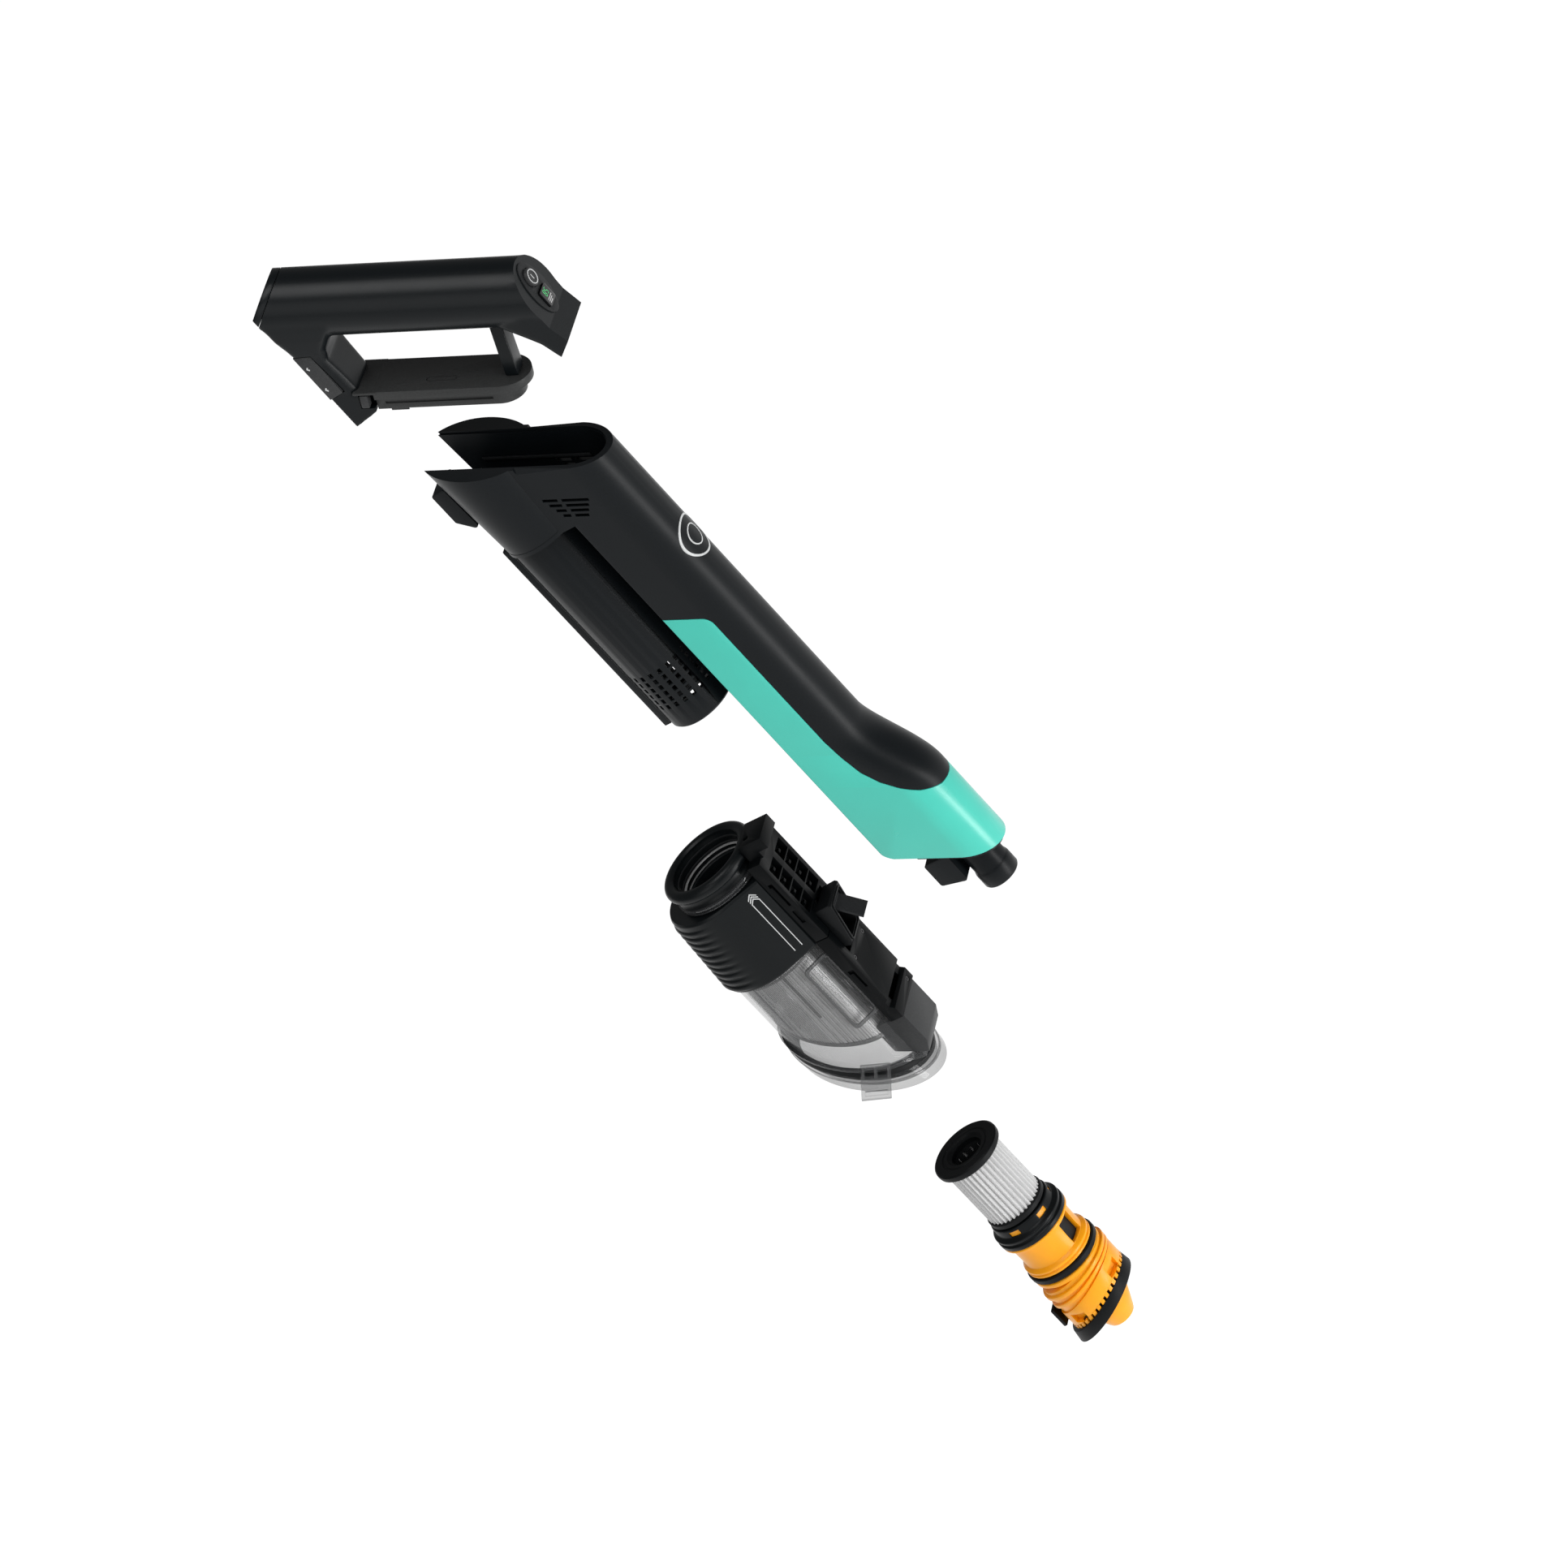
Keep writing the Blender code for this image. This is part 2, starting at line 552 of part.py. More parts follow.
def clear_bin():
    outer = bin_plan(SHELL_R, 13.0, 27.6)
    shell = column("clear_bin", outer, -215, SLEEVE_FOOT - GAP, BIN, "clear")
    cut(shell, rod("bin_space", (BODY_AXIS, 0, -230), (BODY_AXIS, 0, -60), SHELL_R - 2.2, BIN, sides=36))
    cut(shell, slab("shell_trim", lid_plane(1.6, 200), 60, BIN))
    turned("mesh_shroud", [(28.6, -24), (28.6, -112), (27.6, -112), (27.6, -24)], BIN, "mesh", axis=BODY_AXIS)
    return shell


def lid_assembly():
    seal = rod("lid_seal", (BODY_AXIS, 0, -240), (BODY_AXIS, 0, -60), LID_R, BIN, "rubber", sides=36)
    cut(seal, rod("seal_space", (BODY_AXIS, 0, -250), (BODY_AXIS, 0, -50), LID_R - 4.2, BIN, sides=36))
    cut(seal, slab("seal_keep", lid_plane(1.3, 2.6), 60, BIN), operation="INTERSECT")
    lid = rod("bin_lid", (BODY_AXIS, 0, -260), (BODY_AXIS, 0, -60), LID_R + 0.4, BIN, "clear", sides=36)
    cut(lid, slab("lid_keep", lid_plane(-1.6, LID_DEPTH), 60, BIN), operation="INTERSECT")
    bowl = rod("lid_bowl", (BODY_AXIS, 0, -250), (BODY_AXIS, 0, -50), LID_R - 3, BIN, sides=36)
    cut(bowl, slab("bowl_keep", lid_plane(1, LID_DEPTH - 0.2), 60, BIN), operation="INTERSECT")
    cut(lid, bowl)
    return lid


HINGE_UP = slanted(LID_CUT, BODY_AXIS, LID_SLOPE)
LID_TILT = math.atan(LID_SLOPE)
HINGE = make_frame("lid_hinge_frame", BODY_AXIS, HINGE_UP, LID_TILT, BIN, across=LID_R + 3.2)
LATCH_TURN = math.radians(22)
LATCH_OUT = LID_R + 1.2
LATCH_REACH = LATCH_OUT * math.sin(LATCH_TURN)
LATCH = make_frame("lid_latch_frame", BODY_AXIS + LATCH_REACH, HINGE_UP - LID_SLOPE * LATCH_REACH,
                   math.atan(LID_SLOPE * math.cos(LATCH_TURN)), BIN, across=-LATCH_OUT * math.cos(LATCH_TURN))
LATCH.rotation_euler.z = LATCH_TURN


def lug(name, up, low, high):
    """A hinge lug round the pin, reaching to the shell (up 1) or to the lid (up -1)."""
    outline = [(-5.9 if up > 0 else -3.4, 6.8), (-5.9 if up > 0 else -3.4, 2.4), (-2.5, 2.4),
               *arc((0, 0), 2.5, 180, 360, 8), (2.5, 3.0), (0, 6.8)]
    outlines = [[(x, z * up) for x, z in outline], arc((0, 0), 1.5, 0, 330, 11)]
    obj = bpy.data.objects.new(name, outline_mesh(name, outlines, (high - low) / 2))
    obj.rotation_euler = (math.pi / 2, 0.0, math.pi / 2)
    obj.location = mm((low + high) / 2, 0, 0)
    return place(obj, HINGE)


def lid_hardware(shell, lid):
    """The hinge runs along the lid's slant on the far side; the latch sits opposite."""
    rod("hinge_pin", (-9, 0, 0), (9, 0, 0), 1.2, HINGE, "steel", sides=12)
    cut(shell, lug("bin_lug_rear", 1, -9.2, -4.8), lug("bin_lug_front", 1, 4.8, 9.2), operation="UNION")
    cut(lid, lug("lid_lug", -1, -4.4, 4.4), operation="UNION")
    block("lid_latch", (-8.5, -4.5, -13.5), (8.5, -0.6, 9.5), LATCH, "clear", bevel=0.8)


def back_plate():
    """Rail frame on the bin's front face: two cheeks, a face with windows and the catch block."""
    plate = block("back_plate", (28.9, -PLATE_W, -71.0), (FACE, PLATE_W, -9.0), BIN, "satin_black")
    catch = block("catch_block", (29.4, -10.5, -10), (45.4, 10.5, 2.3), BIN)
    notch = block("catch_notch", (38.6, -12, -12), (47, 12, -5.6), BIN)
    cut(catch, notch)
    cut(plate, catch, operation="UNION")
    for side in (-1, 1):
        for i in range(4):
            top = -17.0 - 9.4 * i
            low, high = sorted((side * 3.4, side * 13.2))
            cut(plate, block(f"rail_window_{side}_{i}", (FACE - 4.5, low, top - 8.2), (FACE + 5, high, top), BIN))
        groove = [(31.5, -24), (34.5, -24), (34.5, -42), (32.8, -42), (32.8, -26.5), (31.5, -26.5)]
        cut(plate, slab(f"rail_groove_{side}", groove, 2.2, BIN, across=side * PLATE_W))
    cut(plate, block("gasket_seat", (27, -11.3, -72), (60, 11.3, -55.4), BIN))
    return plate


GASKET_TILT = math.radians(12.0)
PORT = make_frame("port_frame", 43.4, -71.6, GASKET_TILT, BIN)


def duct_cover():
    """Lower half of the plate, screwed over the duct that carries dirt to the bin's foot."""
    side = [(28.9, -71.6), (FACE, -71.6), (FACE, -126), (35.2, -127.4), (35.2, -131), (FACE, -133),
            (FACE, PLATE_FOOT), (28.9, PLATE_FOOT)]
    cover = slab("duct_cover", side, PLATE_W, BIN, "satin_black")
    cut(cover, block("gasket_seat_low", (27, -11.3, -90), (60, 11.3, -70), BIN))
    cut(cover, block("duct_way", (30.6, -10.5, -160), (35.8, 10.5, -80), BIN))
    for i, (across, height) in enumerate(((-11, -95), (11, -95), (11, -136.6))):
        cut(cover, rod(f"screw_hole_{i}", (FACE - 3, across, height), (FACE + 2, across, height), 1.7, BIN, sides=12))
        rod(f"cover_screw_{i + 1}", (FACE - 2.6, across, height), (FACE - 0.3, across, height), 1.4, BIN, "steel",
            sides=12)
    chute = block("inlet_chute", (27.6, -12.5, -168.5), (36.6, 12.5, PLATE_FOOT - GAP), BIN, "dark_grey", bevel=0.8)
    cut(chute, block("chute_way", (29.2, -10.5, -160), (35.2, 10.5, -120), BIN))


def inlet():
    """Gasket frame round the port, and the flap that hangs from its upper edge."""
    gasket = block("inlet_gasket", (-8.2, -10.9, -15.2), (2.6, 10.9, 15.6), PORT, "rubber", bevel=1.0)
    cut(gasket, block("gasket_way", (-20, -7.6, -11.6), (6, 7.6, 12.4), PORT))


FLAP_OPEN = math.radians(-53.0)
FLAP = make_frame("flap_frame", 0.6, 9.6, FLAP_OPEN, PORT)


def inlet_flap():
    """The flap's own -Z runs along its length, away from its hinge."""
    flap = block("inlet_flap", (-0.7, -6.3, -17.9), (0.7, 6.3, 0.8), FLAP, "dark_grey")
    pin = rod("flap_pin", (0, -6.9, 0), (0, 6.9, 0), 1.1, FLAP, sides=12)
    cut(flap, pin, operation="UNION")


# ---------------------------------------------------------------- filter and cyclone
CYCLONE = make_frame("cyclone_frame", CYCLONE_AXIS, FILTER_TOP, 0.0, BIN)
FILTER = make_frame("filter_frame", 0, 0, 0.0, CYCLONE)


def filter_unit():
    turned("filter_flange", [(FLANGE_R - 1.2, 0), (FLANGE_R, -1.4), (FLANGE_R, -3.6), (FLANGE_R - 1.2, -4.8),
                             (10.4, -4.8), (10.4, 0)], FILTER, "rubber", steps=32)
    count = 26
    pleats = []
    for i in range(2 * count):
        angle = math.pi * i / count
        radius = PLEAT_R if i % 2 else PLEAT_R - 1.9
        pleats.append((radius * math.cos(angle), radius * math.sin(angle)))
    paper = column("filter_pleats", pleats, -47.0, -5.1, FILTER, "pleat")
    cut(paper, rod("pleat_bore", (0, 0, -60), (0, 0, 5), 13.4, FILTER))
    turned("filter_core", [(13.0, -5.1), (13.0, -47.0), (11.8, -47.0), (11.8, -5.1)], FILTER, "dark_grey",
           steps=FINE_STEPS)
    solid_turned("filter_foot", [(0, -47.3), (19.2, -47.3), (19.2, -50.6), (16.8, -51.2), (16.8, -56.0), (0, -56.0)],
                 FILTER, "rubber")


def tilted_ring(name, outer, foot_outer, inner, high, low, slope, material, steps=TURN_STEPS):
    """A conical ring cut by two parallel slanted planes; the planes climb forward by slope."""
    ring = rod(name, (0, 0, low - 26), (0, 0, high + 26), foot_outer, CYCLONE, material, end_radius=outer,
               sides=steps)
    cut(ring, rod(name + "_bore", (0, 0, low - 40), (0, 0, high + 40), inner, CYCLONE, sides=steps))
    rise = slope * 60
    keep = [(-60, low - rise), (60, low + rise), (60, high + rise), (-60, high - rise)]
    cut(ring, slab(name + "_keep", keep, 60, CYCLONE), operation="INTERSECT")


def cyclone_unit():
    collar = turned("seal_collar", [(20.0, -51.4), (20.0, -57.6), (23.4, -58.6), (23.4, -60.6), (22.4, -61.4),
                                    (23.6, -62.4), (23.6, -65.4), (17.6, -65.4), (17.6, -51.4)], CYCLONE,
                    "satin_black")
    for i in range(4):
        window = block(f"collar_window_{i}", (-26, -3.4, -1.5), (26, 3.4, 1.5), CYCLONE)
        window.location = mm(0, 0, -55.0)
        window.rotation_euler = (0, 0, math.pi * (i + 0.5) / 4)
        cut(collar, window)
    barrel = turned("cyclone_barrel", [(23.4, -65.7), (23.4, -67.4), (20.8, -69.0), (20.2, -86.0), (22.8, -87.6),
                                       (22.8, -91.0), (21.2, -91.3), (21.2, -96.6), (23.4, -96.9), (23.4, -100.0),
                                       (20.0, -103.5), (17.4, -103.5), (17.4, -65.7)], CYCLONE, "orange")
    cut(barrel, block("barrel_window", (5, -9.5, -84.5), (25, 2, -72), CYCLONE))
    turned("o_ring", [(23.9, -91.7), (23.9, -96.3), (21.5, -96.3), (21.5, -91.7)], CYCLONE, "rubber")
    tilted_ring("vane_ring", 24.8, 24.8, 20.4, -109.0, -114.6, 0.2, "orange")
    tilted_ring("vane_drum", 23.8, 23.8, 17.6, -119.6, -129.0, 0.4, "orange")
    tilted_ring("skirt", 23.2, 27.6, 22.0, -129.6, -136.6, 0.4, "satin_black")
    solid_turned("cone_tip", [(0, -131), (15.4, -131), (15.0, -138), (8.4, -150.5), (6.8, -153.5), (0, -153.5)],
                 CYCLONE, "orange", steps=24)
    block("drain_pad", (-27.6, -13, -136), (-25.2, 2, -122), CYCLONE, "rubber")


def hang(pivot, *names):
    """Re-parents finished pieces to the empty on their joint's axis, without moving them."""
    bpy.context.view_layer.update()
    for name in names:
        obj = bpy.data.objects[name]
        place_now = obj.matrix_world.copy()
        obj.parent = pivot
        obj.matrix_parent_inverse = pivot.matrix_world.inverted()
        obj.matrix_world = place_now


def main():
    body_shell()
    side_cover()
    bin_channel()
    dirt_duct()
    nozzle()
    motor_housing()
    motor_unit()
    head_pieces()
    handle_shell()
    handle_fittings()
    control_panel()
    bin_top()
    grip_sleeve()
    lid_hardware(clear_bin(), lid_assembly())
    back_plate()
    duct_cover()
    inlet()
    inlet_flap()
    filter_unit()
    cyclone_unit()
    hang(HINGE, "bin_lid")


main()
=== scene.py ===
import json
import math

import bmesh
import bpy
from mathutils import Matrix, Vector

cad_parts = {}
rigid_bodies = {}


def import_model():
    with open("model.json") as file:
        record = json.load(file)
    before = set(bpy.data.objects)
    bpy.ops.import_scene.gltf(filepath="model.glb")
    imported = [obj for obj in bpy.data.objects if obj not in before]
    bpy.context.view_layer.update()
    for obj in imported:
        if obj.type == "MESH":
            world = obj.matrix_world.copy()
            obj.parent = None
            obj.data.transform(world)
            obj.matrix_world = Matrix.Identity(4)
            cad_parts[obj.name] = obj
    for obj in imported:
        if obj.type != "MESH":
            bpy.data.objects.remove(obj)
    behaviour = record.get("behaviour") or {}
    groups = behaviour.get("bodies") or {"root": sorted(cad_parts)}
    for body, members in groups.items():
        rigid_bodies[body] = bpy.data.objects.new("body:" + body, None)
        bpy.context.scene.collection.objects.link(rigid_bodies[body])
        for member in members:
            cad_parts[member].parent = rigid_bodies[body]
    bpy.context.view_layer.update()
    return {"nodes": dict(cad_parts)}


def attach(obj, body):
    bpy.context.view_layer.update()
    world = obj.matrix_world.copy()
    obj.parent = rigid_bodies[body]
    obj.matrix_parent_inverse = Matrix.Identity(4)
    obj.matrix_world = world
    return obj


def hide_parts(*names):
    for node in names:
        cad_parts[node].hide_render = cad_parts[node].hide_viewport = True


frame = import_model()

# ---------------------------------------------------------------- driving dimensions, in mm
TUBE_HALF = 20.0
TUBE_BACK = 30.0
TUBE_FRONT = 71.0
NOZZLE_FRONT = 88.0
WALL = 2.4
LINER_HALF = TUBE_HALF - WALL - 0.3
CUT_SLOPE = 0.516
TOP_CUT = 201.3
BOTTOM_CUT = -115.4
COVER_CUT = 82.3
BADGE_UP = 94
SWELL_TOP = -15.0
SWELL_DEPTH = 46.0
POCKET_FLOOR = 172.2
SLOT_HALF = 15.7
HOOK_UP = 181.75
HOOK_BACK = 33.0
MOTOR_R = 21.1
MOTOR_TOP = 150.0
HANDLE_LIFT = 58.4
GRIP_R = 18.5
GRIP_AXIS = 51.2
PLATE_HALF = 14.5
POWER_AT = -7.0
BLADES = (-5.5, -2.7, 0, 2.7, 5.5)
BIN_DOWN = 91.9
BIN_BACK = 74.5
BODY_AXIS = -7.0
SHELL_R = 31.7
CHEEK_HALF = 13.0
CHEEK_FACE = 27.6
SLEEVE_TOP_R = 32.6
SLEEVE_FOOT_R = 35.4
SLEEVE_FOOT = -72.0
SLEEVE_HALF = 15.0
SLEEVE_FACE = 33.0
FACE = 37.7
PLATE_W = 17.0
PLATE_FOOT = -140.5
LID_R = 33.8
LID_SLOPE = 0.78
LID_CUT = -154.5
LID_DEPTH = 15.0
FILTER_TOP = -252.4
CYCLONE_AXIS = -8.0
DRUM_SLOPE = 0.42
PLEAT_R = 18.4
PLEATS = 36
ROUND = 96
REACH = 60.0

WORK = bpy.data.collections.new("work")
bpy.context.scene.collection.children.link(WORK)
PIECES = []
# The record's finishes and the materials that stand for them; printed marks have none.
SLOT_MATERIALS = {
    "black_plastic": ("satin_black", "handle_black", "bin_black", "rail_black"),
    "grey_plastic": ("dark_grey", "plate_grey", "soft_mark"),
    "button_grey": ("light_grey",),
    "teal_cover": ("teal",),
    "orange_plastic": ("orange",),
    "clear_shell": ("clear", "clear_rib", "clear_edge", "clear_lid"),
    "clear_seal": ("silicone",),
    "black_rubber": ("rubber",),
    "filter_paper": ("paper",),
    "steel": ("steel", "dark_steel"),
    "mesh_steel": ("mesh_wire",),
    "display_glass": ("glass_black", "display_green", "display_white"),
}
SLOTS = {material: slot for slot, materials in SLOT_MATERIALS.items() for material in materials}


def mm(*values):
    return tuple(0.001 * value for value in values)


# ---------------------------------------------------------------- materials
MATERIALS = {}
DRIFT_SCALE = 45.0


def map_range(material, source, low, high, socket):
    """Feeds a value from 0 to 1 into one of the shader's sockets, as low to high."""
    spread = material.node_tree.nodes.new("ShaderNodeMapRange")
    spread.inputs["To Min"].default_value = low
    spread.inputs["To Max"].default_value = high
    material.node_tree.links.new(source, spread.inputs["Value"])
    shader = material.node_tree.nodes["Principled BSDF"]
    material.node_tree.links.new(spread.outputs["Result"], shader.inputs[socket])


def make_material(name, colour, roughness, speck=0.12, speck_scale=900.0, bump=0.05, bump_scale=2600.0,
        bump_size=0.00004, specular=0.5, **shader_values):
    """A moulded surface: the colour and the gloss vary a little, and a fine grain stands in the bump."""
    material = bpy.data.materials.new(name)
    material.use_nodes = True
    nodes, links = material.node_tree.nodes, material.node_tree.links
    shader = nodes["Principled BSDF"]
    shader.inputs["Specular IOR Level"].default_value = specular
    for socket, value in shader_values.items():
        shader.inputs[socket.replace("_", " ")].default_value = value
    place = nodes.new("ShaderNodeTexCoord")

    def noise(scale):
        node = nodes.new("ShaderNodeTexNoise")
        node.inputs["Scale"].default_value = scale
        links.new(place.outputs["Object"], node.inputs["Vector"])
        return node

    cloud = noise(speck_scale)
    cloud.inputs["Detail"].default_value = 3.0
    ramp = nodes.new("ShaderNodeValToRGB")
    for stop, position, share in zip(ramp.color_ramp.elements, (0.3, 0.7), (1 - speck, 1 + speck)):
        stop.position = position
        stop.color = (*(min(channel * share, 1) for channel in colour), 1)
    links.new(cloud.outputs["Fac"], ramp.inputs["Fac"])
    links.new(ramp.outputs["Color"], shader.inputs["Base Color"])
    map_range(material, noise(DRIFT_SCALE).outputs["Fac"], roughness * 0.88, roughness * 1.12, "Roughness")
    relief = nodes.new("ShaderNodeBump")
    relief.inputs["Strength"].default_value = bump
    relief.inputs["Distance"].default_value = bump_size
    links.new(noise(bump_scale).outputs["Fac"], relief.inputs["Height"])
    links.new(relief.outputs["Normal"], shader.inputs["Normal"])
    MATERIALS[name] = material
    return material


def make_clear(name, colour, face_alpha, edge_alpha, roughness=0.06):
    """Clear moulded plastic: almost unseen face on, denser where the wall is seen along its length."""
    material = make_material(name, colour, roughness, speck=0.04, speck_scale=60.0, bump=0.03,
        bump_scale=120.0, bump_size=0.0002, IOR=1.5, specular=0.8)
    edge = material.node_tree.nodes.new("ShaderNodeLayerWeight")
    edge.inputs["Blend"].default_value = 0.35
    map_range(material, edge.outputs["Facing"], face_alpha, edge_alpha, "Alpha")


def make_mesh_metal(name):
    """Fine woven wire: a square grid of wires, with the gaps between them see-through."""
    material = make_material(name, (0.30, 0.30, 0.30), 0.4, Metallic=0.4)
    nodes, links = material.node_tree.nodes, material.node_tree.links
    place = nodes.new("ShaderNodeTexCoord")
    weave = nodes.new("ShaderNodeTexBrick")
    weave.offset = 0.0
    gap, wire = (0.4, 0.4, 0.4, 1), (0.95, 0.95, 0.95, 1)
    settings = {"Scale": 900.0, "Mortar Size": 0.22, "Mortar Smooth": 0.3, "Brick Width": 1.0,
        "Row Height": 1.0, "Color1": gap, "Color2": gap, "Mortar": wire}
    for socket, value in settings.items():
        weave.inputs[socket].default_value = value
    links.new(place.outputs["Object"], weave.inputs["Vector"])
    links.new(weave.outputs["Color"], nodes["Principled BSDF"].inputs["Alpha"])


make_material("satin_black", (0.0045, 0.0060, 0.0072), 0.36, speck=0.1, bump=0.1, specular=0.15)
make_material("handle_black", (0.0035, 0.0050, 0.0060), 0.33, speck=0.1, bump=0.08, specular=0.17)
make_material("rail_black", (0.0016, 0.0022, 0.0026), 0.4, speck=0.15, bump=0.12, specular=0.09)
make_material("bin_black", (0.0035, 0.0048, 0.0055), 0.36, speck=0.15, bump=0.15, specular=0.17)
make_material("dark_grey", (0.014, 0.015, 0.016), 0.5, bump=0.2, specular=0.16)
make_material("plate_grey", (0.030, 0.031, 0.031), 0.42, bump=0.25, specular=0.18)
make_material("light_grey", (0.032, 0.033, 0.034), 0.45, speck=0.1, bump=0.2, specular=0.2)
make_material("teal", (0.050, 0.53, 0.425), 0.26, speck=0.015, speck_scale=60.0, bump=0.004,
    bump_scale=200.0)
make_material("orange", (0.95, 0.375, 0.004), 0.3, speck=0.03, speck_scale=120.0, bump=0.02,
    Subsurface_Weight=0.08, Subsurface_Radius=(0.003, 0.0012, 0.0003), Subsurface_Scale=0.4, specular=0.3)
make_clear("clear", (0.20, 0.205, 0.21), 0.06, 0.50)
make_clear("clear_rib", (0.07, 0.072, 0.075), 0.26, 0.85)
make_clear("clear_lid", (0.05, 0.052, 0.054), 0.15, 0.72)
make_clear("clear_edge", (0.05, 0.052, 0.054), 0.5, 0.95)
make_material("dark_steel", (0.05, 0.05, 0.052), 0.4, speck=0.1, Metallic=0.7)
make_material("rubber", (0.0035, 0.0042, 0.0048), 0.5, speck=0.2, bump=0.25, specular=0.16)
make_material("silicone", (0.30, 0.30, 0.30), 0.3, bump=0.1, Alpha=0.75)
make_material("paper", (0.60, 0.60, 0.60), 0.85, speck=0.1, speck_scale=1500.0, bump=0.5, bump_scale=1800.0,
    bump_size=0.0001, Sheen_Weight=0.2)
make_material("steel", (0.5, 0.5, 0.51), 0.32, speck=0.1, Metallic=1.0)
make_material("board", (0.015, 0.09, 0.035), 0.45, speck=0.3, speck_scale=400.0)
make_material("cell", (0.03, 0.1, 0.22), 0.35)
make_mesh_metal("mesh_wire")
make_material("glass_black", (0.006, 0.006, 0.007), 0.1, bump=0.02)
make_material("mark", (0.55, 0.56, 0.56), 0.35, speck=0.05)
make_material("soft_mark", (0.07, 0.07, 0.07), 0.45, speck=0.05)
make_material("display_green", (0.04, 0.3, 0.09), 0.4, Emission_Color=(0.1, 0.75, 0.25, 1),
    Emission_Strength=0.5)
make_material("display_white", (0.3, 0.3, 0.3), 0.4, Emission_Color=(0.6, 0.6, 0.6, 1),
    Emission_Strength=0.35)


# ---------------------------------------------------------------- frames, as in the model
def make_frame(name, forward, up, tilt=0.0, parent=None, across=0.0, turn=0.0, body=None):
    """A frame placed in its parent's. What is built in it rides on its body, or on its parent's."""
    empty = bpy.data.objects.new(name, None)
    WORK.objects.link(empty)
    empty.parent = parent
    empty.location = mm(forward, across, up)
    empty.rotation_euler = (0.0, tilt, turn)
    empty["body"] = body or parent["body"]
    return empty


ROOT = make_frame("tool_frame", 0, -HOOK_UP, across=-HOOK_BACK, turn=-math.pi / 2, body="main_body")
HANDLE = make_frame("handle_frame", 17.0, 192.55 + HANDLE_LIFT, math.atan(CUT_SLOPE), ROOT,
    body="battery_handle")
PANEL = make_frame("panel_frame", 69.8, 52.8, math.radians(62.75), HANDLE)
BIN = make_frame("bin_frame", -BIN_BACK, -BIN_DOWN, 0.0, ROOT, body="dust_bin")
HINGE_UP = LID_CUT - LID_SLOPE * BODY_AXIS
LID_TILT = math.atan(LID_SLOPE)
HINGE = make_frame("lid_hinge_frame", BODY_AXIS, HINGE_UP, LID_TILT, BIN, across=LID_R + 3.2)
LATCH_TURN = math.radians(22)
LATCH_REACH = (LID_R + 1.2) * math.sin(LATCH_TURN)
LATCH = make_frame("lid_latch_frame", BODY_AXIS + LATCH_REACH, HINGE_UP - LID_SLOPE * LATCH_REACH,
    math.atan(LID_SLOPE * math.cos(LATCH_TURN)), BIN, across=-(LID_R + 1.2) * math.cos(LATCH_TURN),
    turn=LATCH_TURN, body="lid_latch")
PORT = make_frame("port_frame", 43.4, -71.6, math.radians(12.0), BIN)
FLAP = make_frame("flap_frame", 0.6, 9.6, math.radians(-53.0), PORT, body="inlet_flap")
CYCLONE = make_frame("cyclone_frame", CYCLONE_AXIS, FILTER_TOP, 0.0, BIN, body="cyclone")


# ---------------------------------------------------------------- shape helpers
def shown(name, data):
    obj = bpy.data.objects.new(name, data)
    bpy.context.scene.collection.objects.link(obj)
    return obj


def place(obj, home):
    """Puts a working shape into its frame."""
    WORK.objects.link(obj)
    obj.parent = home
    return obj


def mesh_object(name, mesh_builder):
    mesh = bpy.data.meshes.new(name)
    working = bmesh.new()
    mesh_builder(working)
    bmesh.ops.recalc_face_normals(working, faces=working.faces)
    working.to_mesh(mesh)
    working.free()
    return bpy.data.objects.new(name, mesh)


def blocks(name, items, home):
    """Boxes between two corners in one mesh, each turned round the upright axis if it says by how much."""
    def build(working):
        for low, high, turn in [(*item, 0.0)[:3] for item in items]:
            size, centre = Vector(high) - Vector(low), (Vector(high) + Vector(low)) / 2
            bmesh.ops.create_cube(working, size=0.001, matrix=Matrix.Rotation(turn, 4, "Z")
                @ Matrix.Translation(mm(*centre)) @ Matrix.Diagonal((*size, 1.0)))

    return place(mesh_object(name, build), home)


def block(name, low, high, home):
    return blocks(name, [(low, high)], home)


def rod(name, start, end, radius, home, end_radius=None, sides=ROUND):
    start, end = Vector(start), Vector(end)
    turn = (end - start).to_track_quat("Z", "Y").to_matrix().to_4x4()

    def build(working):
        bmesh.ops.create_cone(
            working, cap_ends=True, segments=sides, radius1=0.001 * radius,
            radius2=0.001 * (radius if end_radius is None else end_radius),
            depth=0.001 * (end - start).length, matrix=turn)

    obj = mesh_object(name, build)
    obj.location = mm(*((start + end) / 2))
    return place(obj, home)


def turned(name, profile, home, axis=0.0, solid=False):
    """A profile of (radius, height) turned round an upright axis; a solid one starts and ends on it."""
    mesh = bpy.data.meshes.new(name)
    count = len(profile)
    edges = [(i, (i + 1) % count) for i in range(count - solid)]
    mesh.from_pydata([mm(radius, 0, height) for radius, height in profile], edges, [])
    obj = bpy.data.objects.new(name, mesh)
    obj.location = mm(axis, 0, 0)
    screw = obj.modifiers.new("turn", "SCREW")
    screw.steps = screw.render_steps = ROUND
    screw.use_merge_vertices = True
    screw.merge_threshold = 0.00001
    return place(obj, home)


def tube(name, outer, inner, top, foot, home, axis=0.0):
    return turned(name, [(outer, top), (outer, foot), (inner, foot), (inner, top)], home, axis)


